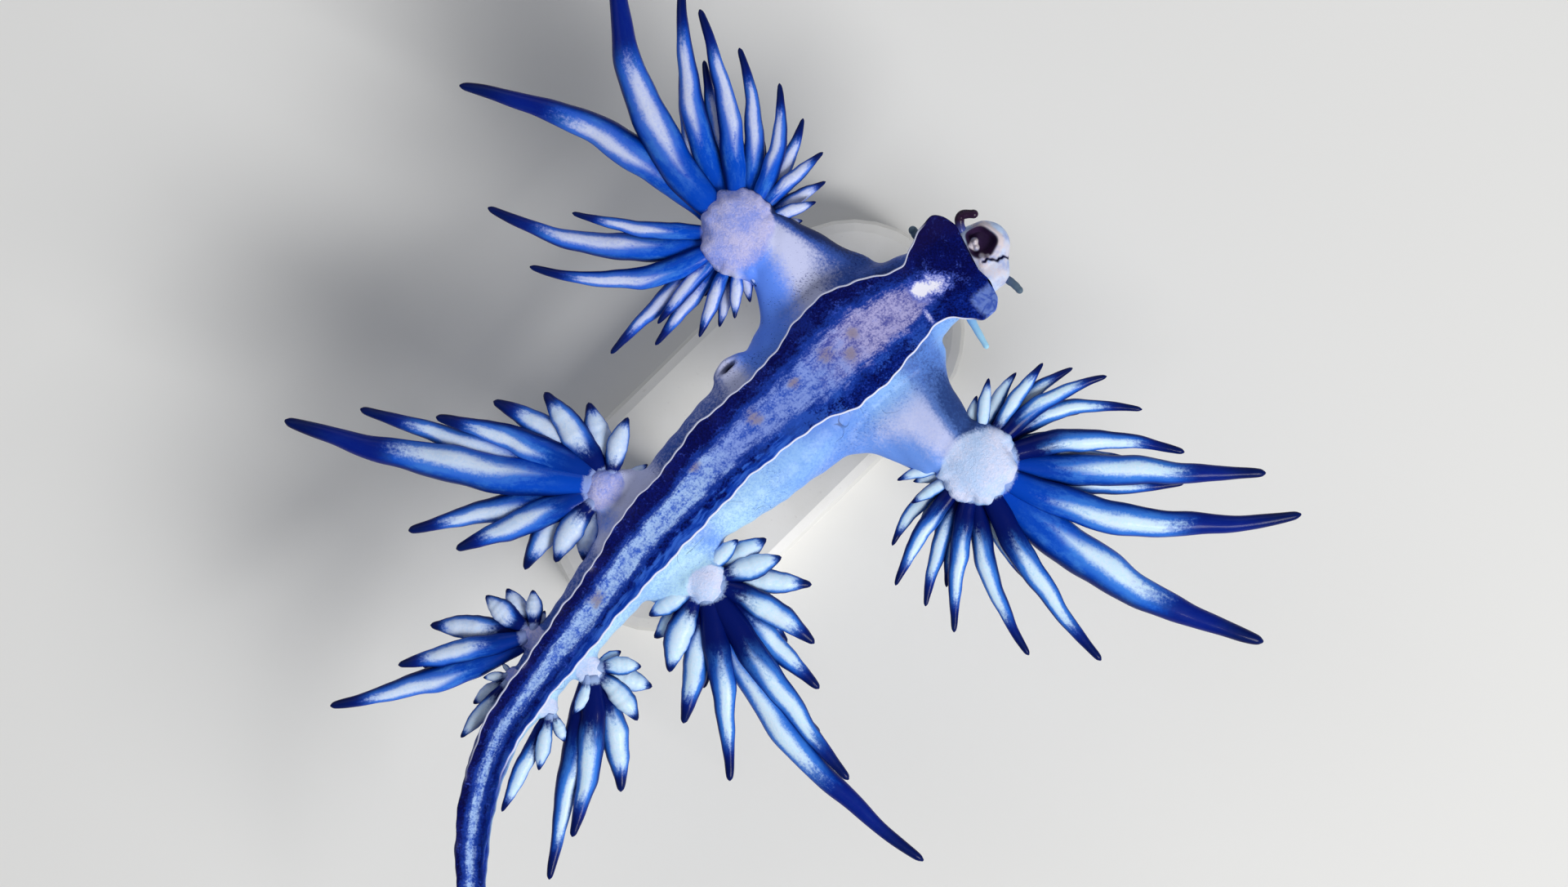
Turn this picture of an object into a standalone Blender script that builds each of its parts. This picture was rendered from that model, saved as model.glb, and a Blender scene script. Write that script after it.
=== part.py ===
"""Blue dragon sea slug, life size, belly up as it floats, on a small display stand.

Every size is in millimetres and becomes metres when a mesh is made. +Z is up, and the sole of the
foot faces it. The origin is the middle of the stand's underside, on the floor. Right and left are
the animal's own, so with the belly up and the head towards +X +Y its right side faces -X +Y.
"""

import math

import bmesh
import bpy
from mathutils import Euler, Vector

MM = 0.001
GAP = 0.3  # clearance that neighbouring solids keep
REACH_IN = 0.6  # how far a cutter or a root runs past the face it has to cross

SOLE_HEIGHT = 14.0  # floor to the sole
SOLE_THICKNESS = 0.5
TAIL_DIP = 1.2  # how far the tip of the tail hangs below the sole's level
TAIL_DIP_START = 22.0  # along the body

# Middle line of the sole, from its front edge to the tip of the tail: x, y.
ROUTE = (
    (8.5, 6.24),
    (6.58, 5.13),
    (4.57, 3.72),
    (2.93, 2.52),
    (0.66, 0.57),
    (-1.3, -1.2),
    (-3.97, -4.0),
    (-6.14, -6.87),
    (-8.5, -10.0),
    (-9.85, -12.0),
    (-10.7, -14.6),
    (-10.95, -17.4),
    (-10.75, -20.2),
    (-10.24, -22.7),
)
# Distance along the body, and half the width of the sole there. The first five make its front lobes.
SOLE_HALF_WIDTH = (
    (0.0, 1.62),
    (0.3, 2.1),
    (0.8, 2.3),
    (1.3, 2.1),
    (1.9, 1.6),
    (2.5, 1.34),
    (3.2, 1.45),
    (4.7, 1.95),
    (6.7, 2.08),
    (8.4, 1.64),
    (9.7, 1.48),
    (13.1, 1.42),
    (14.4, 1.29),
    (18.0, 1.15),
    (19.8, 1.08),
    (21.5, 0.95),
    (23.7, 0.82),
    (26.1, 0.69),
    (31.0, 0.57),
    (34.6, 0.36),
    (37.0, 0.16),
)
# Distance along the body, half the width of its flanks, and its depth below the sole.
FLANKS = (
    (0.9, 1.5, 2.4),
    (2.5, 1.75, 2.9),
    (4.7, 2.45, 3.4),
    (6.7, 2.7, 3.5),
    (8.4, 2.45, 3.4),
    (11.5, 2.2, 3.2),
    (14.4, 1.95, 2.9),
    (18.0, 1.55, 2.5),
    (21.5, 1.17, 2.1),
    (23.7, 0.98, 1.85),
    (26.1, 0.84, 1.65),
    (31.0, 0.68, 1.35),
    (34.6, 0.42, 0.95),
    (37.0, 0.2, 0.5),
)
# The lengths that the body and the sole are divided into: name, start and end along the body.
BODY_LENGTHS = (
    ("neck", 1.2, 3.2),
    ("trunk_front", 3.2, 8.6),
    ("trunk_middle", 8.6, 14.0),
    ("trunk_rear", 14.0, 19.6),
    ("tail_root", 19.6, 25.6),
    ("tail_middle", 25.6, 31.5),
)
SOLE_LENGTHS = (
    ("foot_front", 0.0, 3.2),
    ("foot_middle", 3.2, 14.0),
    ("foot_rear", 14.0, 22.6),
    ("foot_tail", 22.6, 31.5),
)
TAIL_TIP = ("tail_tip", 31.5, 37.0)

# The head, ahead of the sole's front edge and under it: distance along the body, half-width,
# top and bottom from the sole.
HEAD = (
    (-1.55, 0.4, -1.0, -1.5),
    (-1.35, 0.85, -0.75, -1.8),
    (-0.9, 1.2, -0.6, -2.1),
    (-0.4, 1.38, -0.6, -2.3),
    (0.0, 1.42, -0.85, -2.35),
    (1.2, 1.5, -0.85, -2.45),
)
MOUTH_AT = (-0.7, 0.5)  # along the body, and towards the animal's right
MOUTH_HALF = (0.4, 0.5)  # half-length along the body, and across it
MOUTH_LEVEL = -0.66
MOUTH_DEPTH = 0.45
LIP_RADIUS = 0.16

FEELER_RADIUS = 0.25
# Each feeler: along the body, towards the right, and from the sole's level, from its root to its tip.
FEELERS = {
    "oral_tentacle_right": ((-0.2, 1.0, -1.4), (-0.3, 1.6, -1.2), (-0.55, 2.0, -1.1), (-1.0, 1.75, -1.0)),
    "oral_tentacle_left": ((-0.5, -0.7, -1.5), (-0.7, -1.1, -1.35), (-0.85, -1.5, -1.25), (-0.93, -1.9, -1.2)),
    "rhinophore_right": ((1.3, 0.8, -2.0), (1.5, 1.6, -2.1), (1.6, 2.3, -2.2), (1.7, 2.8, -2.4)),
    "rhinophore_left": ((1.1, -0.8, -2.0), (1.2, -1.5, -1.85), (1.24, -2.2, -1.7), (1.24, -3.0, -1.6)),
}

PAPILLA_AT = (9.8, 2.6, -1.4)  # along the body, towards the right, and from the sole's level
PAPILLA_HALF = (0.5, 0.55, 0.5)
PAPILLA_PORE_RADIUS = 0.14

# Each arm: its level and half-thickness at the body and at its end, then sections from inside
# the body outwards, each as its front edge and its rear edge in plan.
ARMS = {
    "arm_front_right": (
        (-1.95, 1.0, -1.7, 0.8),
        (
            ((4.9, 5.3), (0.3, 1.3)),
            ((4.6, 6.4), (-0.35, 2.9)),
            ((3.3, 6.95), (0.15, 3.75)),
            ((2.4, 7.5), (0.1, 4.6)),
            ((1.7, 7.85), (-0.15, 5.4)),
            ((0.8, 8.4), (-0.7, 6.2)),
        ),
    ),
    "arm_front_left": (
        (-1.95, 1.0, -1.7, 0.8),
        (
            ((6.2, 3.9), (1.3, -0.5)),
            ((7.4, 3.1), (2.4, -1.9)),
            ((7.4, 2.3), (3.3, -1.35)),
            ((7.6, 1.55), (4.2, -1.1)),
            ((8.0, 0.95), (5.1, -1.35)),
            ((8.4, 0.1), (6.6, -2.1)),
        ),
    ),
    "arm_middle_right": (
        (-1.6, 0.8, -1.45, 0.6),
        (
            ((-3.7, -2.8), (-5.2, -4.6)),
            ((-4.5, -1.7), (-6.2, -3.9)),
            ((-5.1, -1.65), (-6.2, -3.3)),
        ),
    ),
    "arm_middle_left": (
        (-1.6, 0.8, -1.45, 0.6),
        (
            ((-2.6, -4.0), (-4.6, -6.3)),
            ((-1.0, -4.7), (-3.7, -7.1)),
            ((-1.35, -5.4), (-2.8, -6.8)),
        ),
    ),
}

# Each fan of cerata: the pad's place in plan, its level, its radius and half-thickness; the
# stretch of its rim that bears cerata, in degrees from +X; the width that a ceras has for no
# length and what each millimetre of length adds; and each ceras in order round the rim. A ceras is
# the direction of its tip from the pad's middle, in degrees, the tip's reach from there, and how
# many degrees its root leans from the straight line to the tip.
FANS = {
    "cerata_front_right": (
        (-0.63, 7.4), -1.55, (1.55, 0.85), (21, 285), (0.38, 0.075),
        (
            (11, 2.5, 0), (22, 3.2, 0), (31, 3.9, 0), (44, 4.5, 3), (61, 5.1, -15), (75, 6.0, -25),
            (90, 7.2, -20), (100, 8.8, -10), (103, 9.9, 14), (113, 12.3, 27), (152, 12.3, -19),
            (173, 6.5, 11), (174, 9.8, 24), (189, 8.2, 32), (223, 6.8, -4), (228, 4.7, -4),
            (233, 5.4, 0), (249, 4.3, 0), (258, 3.7, 0), (267, 3.3, 0), (279, 2.7, 0), (288, 2.2, 0),
        ),
    ),
    "cerata_front_left": (
        (8.6, -1.48), -1.55, (1.5, 0.85), (98, -182), (0.38, 0.075),
        (
            (91, 2.6, 25), (83, 3.3, 4), (67, 3.8, 17), (57, 4.6, 5), (45, 5.2, 21), (34, 6.0, 21),
            (18, 6.7, 37), (3, 8.0, 20), (-2, 11.2, -2), (-9, 12.7, -22), (-32, 13.1, -15),
            (-58, 9.0, -9), (-75, 7.7, -19), (-98, 6.6, -8), (-110, 5.9, -11), (-124, 5.7, -12),
            (-136, 4.6, -25), (-149, 3.0, 0), (-164, 2.6, 0), (-168, 3.2, -14), (-185, 2.4, -20),
        ),
    ),
    "cerata_middle_right": (
        (-5.8, -2.48), -1.3, (0.8, 0.62), (14, 262), (0.76, 0.03),
        (
            (30, 1.9, 0), (72, 2.9, 14), (101, 3.4, 0), (122, 4.4, 0), (142, 5.5, -12),
            (157, 7.1, -9), (162, 10.0, 1), (168, 12.7, 7), (192, 7.8, -2), (202, 6.2, 0),
            (225, 4.4, -25), (236, 3.4, -17), (254, 2.9, -17),
        ),
    ),
    "cerata_middle_left": (
        (-1.93, -6.11), -1.3, (0.75, 0.62), (84, -194), (0.76, 0.03),
        (
            (75, 1.8, 0), (53, 2.1, 12), (36, 2.9, 4), (19, 3.1, -4), (-1, 4.1, 3), (-29, 4.8, 13),
            (-43, 6.0, 0), (-54, 9.4, -4), (-52, 13.7, -18), (-83, 7.7, 6), (-99, 5.5, 7),
            (-112, 3.7, -12), (-133, 2.9, 10), (-150, 2.5, 0), (-166, 2.1, -8), (-182, 1.5, -17),
        ),
    ),
    "cerata_rear_right": (
        (-8.57, -8.16), -1.1, (0.5, 0.5), (60, 225), (0.7, 0.03),
        (
            (65, 1.1, 0), (90, 1.8, -8), (119, 2.1, 0), (139, 2.4, 4), (174, 4.0, -3), (192, 5.3, 0),
            (199, 8.3, 8),
        ),
    ),
    "cerata_rear_left": (
        (-6.39, -9.42), -1.1, (0.55, 0.5), (35, -120), (0.7, 0.03),
        (
            (30, 1.4, 0), (3, 2.0, 8), (-16, 2.5, 0), (-47, 2.7, 15), (-76, 4.9, 13), (-96, 6.5, 12),
            (-101, 8.3, 0), (-110, 1.8, 25),
        ),
    ),
    "cerata_last_right": (
        (-9.36, -9.77), -1.05, (0.42, 0.42), (80, 240), (0.5, 0.03),
        ((124, 0.7, 0), (178, 1.1, 0), (213, 1.8, 0), (229, 3.0, 0)),
    ),
    "cerata_last_left": (
        (-7.92, -10.93), -1.05, (0.42, 0.42), (-40, -128), (0.5, 0.03),
        ((-66, 1.4, 0), (-100, 2.4, 0), (-115, 4.4, 0)),
    ),
}
CERAS_MOST_PLUMP = 0.33  # width for its length
CERAS_LEAST_WIDTH = 0.5
# Share of the length, and radius there as a share of half the width.
CERAS_PROFILE = ((0.0, 0.55), (0.16, 0.78), (0.38, 1.0), (0.6, 0.8), (0.82, 0.46), (1.0, 0.16))
CERAS_BEND = 0.5  # share of its length over which a ceras keeps its root's direction
LONG_CERAS = 5.5  # reach from which it gets a finer section
CERAS_DROOP = 0.075  # dip of the tip, as a share of the length
CERAS_TIER = 0.2  # neighbours lie this much above and below their middle level
ROOT_REACH = 0.4  # how far out of the pad's middle a ceras is rooted, as a share of its radius
ROOT_DEPTH = 0.2  # how far the cerata's level is below the pad's
END_LIFT = 0.3  # the small cerata at both ends of a fan sit this much higher
END_COUNT = 3  # how many at each end are lifted

STAND_LENGTH = 20.0
STAND_WIDTH = 9.0
STAND_THICKNESS = 3.0
STAND_EDGE = 0.5  # bevel of its top edge
STAND_TURN = 44.5  # degrees from +X, along the body
ROD_RADIUS = 0.8
RODS = {"stand_rod_front": 6.0, "stand_rod_rear": 15.0}  # places along the body

COLOURS = {
    "skin": (0.36, 0.5, 0.86),
    "head": (0.75, 0.78, 0.9),
    "sole": (0.02, 0.07, 0.36),
    "cerata": (0.1, 0.28, 0.75),
    "stand": (0.82, 0.82, 0.8),
    "rod": (0.62, 0.63, 0.65),
}


def blend(table, along, column):
    """Value of a table's column at a distance along it, on a smooth curve through its rows."""
    xs = [row[0] for row in table]
    along = min(max(along, xs[0]), xs[-1])
    i = max(k for k in range(len(xs) - 1) if xs[k] <= along)
    ys = [row[column] for row in table]

    def slope(k):
        if k in (0, len(xs) - 1):
            return 0.0
        before = (ys[k] - ys[k - 1]) / (xs[k] - xs[k - 1])
        after = (ys[k + 1] - ys[k]) / (xs[k + 1] - xs[k])
        return 0.0 if before * after <= 0 else 2 * before * after / (before + after)

    width = xs[i + 1] - xs[i]
    t = (along - xs[i]) / width
    return (
        (1 + 2 * t) * (1 - t) ** 2 * ys[i]
        + t * (1 - t) ** 2 * width * slope(i)
        + t * t * (3 - 2 * t) * ys[i + 1]
        + t * t * (t - 1) * width * slope(i + 1)
    )


def catmull_rom(points, i, t):
    """A point and its direction on the smooth curve through points, at share t of stretch i."""
    last = len(points) - 1
    a, b, c, d = (Vector(points[min(max(k, 0), last)]) for k in range(i - 1, i + 3))
    place = 0.5 * (2 * b + (c - a) * t + (2 * a - 5 * b + 4 * c - d) * t**2 + (3 * b - a - 3 * c + d) * t**3)
    direction = 0.5 * ((c - a) + 2 * (2 * a - 5 * b + 4 * c - d) * t + 3 * (3 * b - a - 3 * c + d) * t**2)
    return place, direction


def measured_route():
    """Rows of distance, x, y and direction along the middle line of the sole."""
    steps = 24
    rows = []
    travelled = 0.0
    for i in range(len(ROUTE) - 1):
        for k in range(steps + (i == len(ROUTE) - 2)):
            place, direction = catmull_rom(ROUTE, i, k / steps)
            if rows:
                travelled += (place - Vector(rows[-1][1:3])).length
            rows.append((travelled, place.x, place.y, math.atan2(direction.y, direction.x)))
    return rows


ROUTE_ROWS = measured_route()


def body_frame(along):
    """Place on the sole's middle line, direction towards the tail and direction to the right side."""
    rows = ROUTE_ROWS
    if along <= 0:
        x, y, angle = rows[0][1:]
    else:
        i = max(k for k in range(len(rows) - 1) if rows[k][0] <= along)
        t = min((along - rows[i][0]) / (rows[i + 1][0] - rows[i][0]), 1.0)
        x, y, angle = (rows[i][c] + t * (rows[i + 1][c] - rows[i][c]) for c in (1, 2, 3))
    back = Vector((math.cos(angle), math.sin(angle), 0))
    right = Vector((back.y, -back.x, 0))
    dip = TAIL_DIP * (max(along - TAIL_DIP_START, 0) / (TAIL_TIP[2] - TAIL_DIP_START)) ** 2
    place = Vector((x, y, SOLE_HEIGHT - dip)) + back * min(along, 0)
    return place, back, right


def on_body(along, aside, level):
    """World place of a point given along the body, towards its right side, and above the sole."""
    place, _, right = body_frame(along)
    return place + right * aside + Vector((0, 0, level))


def ring(middle, across, half_width, half_height, count, squareness):
    """A closed section in the plane of across and Z: a superellipse."""
    points = []
    for k in range(count):
        angle = 2 * math.pi * (k + 0.5) / count
        c, s = math.cos(angle), math.sin(angle)
        u = math.copysign(abs(c) ** squareness, c) * half_width
        v = math.copysign(abs(s) ** squareness, s) * half_height
        points.append(middle + across * u + Vector((0, 0, v)))
    return points


def material(name):
    """The shared plain material of that name."""
    found = bpy.data.materials.get(name)
    if found:
        return found
    made = bpy.data.materials.new(name)
    made.use_nodes = True
    shader = made.node_tree.nodes["Principled BSDF"]
    shader.inputs["Base Color"].default_value = (*COLOURS[name], 1.0)
    shader.inputs["Roughness"].default_value = 0.35
    shader.inputs["Metallic"].default_value = 1.0 if name == "rod" else 0.0
    return made


def new_object(name, mesh, collection, finish):
    mesh.materials.clear()
    mesh.materials.append(material(finish))
    mesh.shade_smooth()
    mesh.set_sharp_from_angle(angle=math.radians(40))
    obj = bpy.data.objects.new(name, mesh)
    collection.objects.link(obj)
    return obj


def loft(name, rings, collection, finish="skin"):
    """One closed object through rings of equal counts, with both ends capped."""
    bm = bmesh.new()
    rows = [[bm.verts.new(point * MM) for point in points] for points in rings]
    for first, second in zip(rows, rows[1:]):
        for k in range(len(first)):
            n = (k + 1) % len(first)
            bm.faces.new((first[k], first[n], second[n], second[k]))
    bm.faces.new(rows[0])
    bm.faces.new(rows[-1])
    bmesh.ops.triangulate(bm, faces=bm.faces)
    bmesh.ops.recalc_face_normals(bm, faces=bm.faces)
    mesh = bpy.data.meshes.new(name)
    bm.to_mesh(mesh)
    bm.free()
    return new_object(name, mesh, collection, finish)


def spaced(start, end, most):
    """Places from start to end, evenly spaced and no further apart than most."""
    count = max(1, math.ceil((end - start) / most - 1e-6))
    return [start + (end - start) * k / count for k in range(count + 1)]


def body_ring(along, grow):
    flank = blend(FLANKS, along, 1) + grow
    top = -SOLE_THICKNESS - GAP + grow
    bottom = -blend(FLANKS, along, 2) - grow
    place, _, right = body_frame(along)
    middle = place + Vector((0, 0, (top + bottom) / 2))
    return ring(middle, right, flank, (top - bottom) / 2, 16, 0.78)


def sole_ring(along, grow):
    half = blend(SOLE_HALF_WIDTH, along, 1) + grow
    place, _, right = body_frame(along)
    middle = place + Vector((0, 0, -SOLE_THICKNESS / 2))
    return ring(middle, right, half, SOLE_THICKNESS / 2 + grow, 8, 0.55)


def tail_tip_ring(along):
    half = blend(FLANKS, along, 1)
    bottom = -blend(FLANKS, along, 2)
    place, _, right = body_frame(along)
    return ring(place + Vector((0, 0, bottom / 2)), right, half, -bottom / 2, 10, 0.8)


def head_ring(row, grow):
    along, half, top, bottom = row
    place, _, right = body_frame(along)
    middle = place + Vector((0, 0, (top + bottom) / 2))
    return ring(middle, right, half + grow, (top - bottom) / 2 + grow, 14, 0.85)


def arm_rings(name, grow):
    (root_level, root_half, end_level, end_half), sections = ARMS[name]
    rings = []
    last = len(sections) - 1
    for k, (front, rear) in enumerate(sections):
        front, rear = Vector((*front, 0)), Vector((*rear, 0))
        share = k / last
        level = root_level + (end_level - root_level) * share
        half = root_half + (end_half - root_half) * share
        middle = (front + rear) / 2 + Vector((0, 0, SOLE_HEIGHT + level))
        across = (front - rear).normalized()
        if k == last:
            middle += (middle - before).normalized() * grow
        rings.append(ring(middle, across, (front - rear).length / 2 + grow, half + grow, 12, 0.9))
        before = middle
    return rings


def tube(name, points, radii, sides, collection, finish="cerata"):
    """One closed tapered tube along points, from a curve object that is turned into a mesh."""
    curve = bpy.data.curves.new(name, "CURVE")
    curve.dimensions = "3D"
    curve.bevel_depth = MM
    curve.bevel_resolution = (sides - 4) // 2
    curve.use_fill_caps = True
    curve.twist_mode = "Z_UP"
    spline = curve.splines.new("POLY")
    spline.points.add(len(points) - 1)
    for slot, point, radius in zip(spline.points, points, radii):
        slot.co = (*(point * MM), 1)
        slot.radius = radius
    holder = bpy.data.objects.new(name, curve)
    bpy.context.scene.collection.objects.link(holder)
    bpy.context.view_layer.update()
    mesh = bpy.data.meshes.new_from_object(holder.evaluated_get(bpy.context.evaluated_depsgraph_get()))
    bpy.data.objects.remove(holder)
    bm = bmesh.new()
    bm.from_mesh(mesh)
    bmesh.ops.remove_doubles(bm, verts=bm.verts, dist=1e-7)
    bmesh.ops.triangulate(bm, faces=bm.faces)
    bmesh.ops.recalc_face_normals(bm, faces=bm.faces)
    bm.to_mesh(mesh)
    bm.free()
    return new_object(name, mesh, collection, finish)


def ball(name, middle, half, turn, segments, rings, collection, finish):
    """A squashed UV sphere, turned about Z, with its place and size in its mesh."""
    bpy.ops.mesh.primitive_uv_sphere_add(segments=segments, ring_count=rings, radius=1)
    made = bpy.context.object
    mesh = made.data
    bpy.data.objects.remove(made)
    for vertex in mesh.vertices:
        x, y, z = (vertex.co[c] * half[c] for c in range(3))
        c, s = math.cos(turn), math.sin(turn)
        vertex.co = (middle + Vector((x * c - y * s, x * s + y * c, z))) * MM
    mesh.name = name
    return new_object(name, mesh, collection, finish)


def boolean(target, others, operation, solver="EXACT"):
    """Joins or cuts target by a collection of closed meshes and applies it."""
    modifier = target.modifiers.new(operation, "BOOLEAN")
    modifier.operand_type = "COLLECTION"
    modifier.collection = others
    modifier.operation = operation
    modifier.solver = solver
    bpy.context.view_layer.update()
    graph = bpy.context.evaluated_depsgraph_get()
    mesh = bpy.data.meshes.new_from_object(target.evaluated_get(graph))
    target.modifiers.clear()
    target.data = mesh
    keep_largest(target)


def keep_largest(obj):
    """Leaves an object only its largest closed surface."""
    bm = bmesh.new()
    bm.from_mesh(obj.data)
    bmesh.ops.remove_doubles(bm, verts=bm.verts, dist=1e-6)
    bmesh.ops.triangulate(bm, faces=bm.faces)
    unseen = set(bm.verts)
    shells = []
    while unseen:
        todo = [unseen.pop()]
        shell = set(todo)
        while todo:
            for edge in todo.pop().link_edges:
                for vertex in edge.verts:
                    if vertex in unseen:
                        unseen.discard(vertex)
                        shell.add(vertex)
                        todo.append(vertex)
        shells.append(shell)
    sizes = [sum(vertex.co.length for vertex in shell) for shell in shells]
    spans = [extent(shell) for shell in shells]
    keep = max(range(len(shells)), key=lambda k: (round(spans[k], 6), sizes[k]))
    drop = [vertex for k, shell in enumerate(shells) if k != keep for vertex in shell]
    bmesh.ops.delete(bm, geom=drop, context="VERTS")
    bm.to_mesh(obj.data)
    bm.free()


def extent(vertices):
    """Diagonal of the box round some vertices."""
    low = [min(vertex.co[c] for vertex in vertices) for c in range(3)]
    high = [max(vertex.co[c] for vertex in vertices) for c in range(3)]
    return math.dist(low, high)


def helpers(name):
    """A collection for cutters or for pieces that are about to be joined."""
    made = bpy.data.collections.new(name)
    bpy.context.scene.collection.children.link(made)
    return made


def clear(collection):
    for obj in list(collection.objects):
        bpy.data.objects.remove(obj)
    bpy.data.collections.remove(collection)


def as_cutter(obj):
    obj.hide_render = True
    obj.display_type = "WIRE"
    return obj


def make_body(parts):
    for name, start, end in BODY_LENGTHS:
        rings = [body_ring(along, 0) for along in spaced(start + GAP / 2, end - GAP / 2, 1.3)]
        loft(name, rings, parts)
    name, start, end = TAIL_TIP
    loft(name, [tail_tip_ring(along) for along in spaced(start + GAP / 2, end, 1.1)], parts)


def make_sole(parts):
    for name, start, end in SOLE_LENGTHS:
        first = start + (GAP / 2 if start > 0 else 0)
        step = 0.3 if start == 0 else 1.1
        rings = [sole_ring(along, 0) for along in spaced(first, end - GAP / 2, step)]
        loft(name, rings, parts, "sole")


def make_head(parts):
    head = loft("head", [head_ring(row, 0) for row in HEAD[:-1]] + [head_ring(
        (HEAD[-1][0] - GAP / 2, *HEAD[-1][1:]), 0)], parts, "head")
    along, aside = MOUTH_AT
    place, back, _ = body_frame(along)
    turn = math.atan2(back.y, back.x)
    centre = on_body(along, aside, MOUTH_LEVEL)
    lips = helpers("lips")
    bpy.ops.mesh.primitive_torus_add(
        major_segments=16, minor_segments=6, major_radius=1, minor_radius=LIP_RADIUS / MOUTH_HALF[0]
    )
    torus = bpy.context.object
    mesh = torus.data
    bpy.data.objects.remove(torus)
    for vertex in mesh.vertices:
        x = vertex.co.x * MOUTH_HALF[0]
        y = vertex.co.y * MOUTH_HALF[1]
        z = vertex.co.z * MOUTH_HALF[0]
        c, s = math.cos(turn), math.sin(turn)
        vertex.co = (centre + Vector((x * c - y * s, x * s + y * c, z))) * MM
    new_object("lip_ring", mesh, lips, "head")
    boolean(head, lips, "UNION")
    clear(lips)
    hollow = helpers("hollow")
    half = (MOUTH_HALF[0] - LIP_RADIUS / 2, MOUTH_HALF[1] - LIP_RADIUS / 2, MOUTH_DEPTH)
    as_cutter(ball("mouth_hollow", centre, half, turn, 12, 8, hollow, "head"))
    boolean(head, hollow, "DIFFERENCE")
    clear(hollow)
    return head


def make_feelers(parts, cutters):
    for name, route in FEELERS.items():
        points = [on_body(*point) for point in route]
        path = []
        for i in range(len(points) - 1):
            path += [catmull_rom(points, i, k / 2)[0] for k in range(2)]
        path.append(points[-1])
        last = len(path) - 1
        radii = [FEELER_RADIUS * (1.15 - 0.6 * (k / last) ** 2) for k in range(last + 1)]
        feeler = tube(name, path, radii, 8, parts, "head")
        boolean(feeler, cutters, "DIFFERENCE")


def make_arms(parts, cutters):
    for name in ARMS:
        arm = loft(name, arm_rings(name, 0), parts)
        boolean(arm, cutters, "DIFFERENCE")


def ceras_width(length, width_law):
    """The widest of a ceras of that length."""
    base, slope = width_law
    return max(CERAS_LEAST_WIDTH, min(CERAS_MOST_PLUMP * length, base + slope * length))


def ceras_path(root, tip, lean):
    """Points from root to tip, leaving the root at lean degrees from the straight line, drooping."""
    line = tip - root
    start = line.copy()
    start.rotate(Euler((0, 0, math.radians(lean))))
    turn = root + start * CERAS_BEND
    path = []
    for t, _ in CERAS_PROFILE:
        point = root * (1 - t) ** 2 + turn * 2 * t * (1 - t) + tip * t * t
        path.append(point - Vector((0, 0, CERAS_DROOP * line.length * t)))
    return path


def plan_direction(degrees):
    angle = math.radians(degrees)
    return Vector((math.cos(angle), math.sin(angle), 0))


def make_fan(name, parts, cutters):
    """One pad and its cerata, joined and cut clear of the arm and the body."""
    centre, level, (pad_radius, pad_half), (start, end), width_law, tips = FANS[name]
    middle = Vector((*centre, SOLE_HEIGHT + level))
    segments = 16 if pad_radius > 1 else 12
    turn = math.radians((start + end) / 2)
    pad = ball(name, middle, (pad_radius, pad_radius, pad_half), turn, segments, 8, parts, "cerata")
    widths = [ceras_width(reach - pad_radius, width_law) for _, reach, _ in tips]
    cerata = helpers("cerata")
    passed = 0.0
    for k, ((aim, reach, lean), width) in enumerate(zip(tips, widths)):
        outward = plan_direction(start + (end - start) * (passed + width / 2) / sum(widths))
        passed += width
        from_end = min(k, len(tips) - 1 - k)
        rise = END_LIFT * max(0.0, 1 - from_end / END_COUNT) - ROOT_DEPTH
        rise += CERAS_TIER * (1 if k % 2 else -1)
        level_middle = middle + Vector((0, 0, rise))
        root = level_middle + outward * pad_radius * ROOT_REACH
        path = ceras_path(root, level_middle + plan_direction(aim) * reach, lean)
        radii = [width / 2 * share for _, share in CERAS_PROFILE]
        tube(f"ceras_{k}", path, radii, 8 if reach > LONG_CERAS else 6, cerata)
    boolean(pad, cerata, "UNION", "MANIFOLD")
    clear(cerata)
    boolean(pad, cutters, "DIFFERENCE", "MANIFOLD")


def make_papilla(parts, cutters):
    """The raised genital opening on the right flank, behind the front arm."""
    along, aside, level = PAPILLA_AT
    _, back, right = body_frame(along)
    turn = math.atan2(back.y, back.x)
    middle = on_body(along, aside, level)
    papilla = ball("genital_papilla", middle, PAPILLA_HALF, turn, 12, 8, parts, "skin")
    pore = helpers("pore")
    outside = middle + right * PAPILLA_HALF[1] + Vector((0, 0, 0.12))
    half = (PAPILLA_PORE_RADIUS * 1.8, PAPILLA_PORE_RADIUS, PAPILLA_PORE_RADIUS * 1.2)
    as_cutter(ball("pore_hollow", outside, half, turn, 10, 6, pore, "skin"))
    boolean(papilla, pore, "DIFFERENCE")
    clear(pore)
    boolean(papilla, cutters, "DIFFERENCE")


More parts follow.
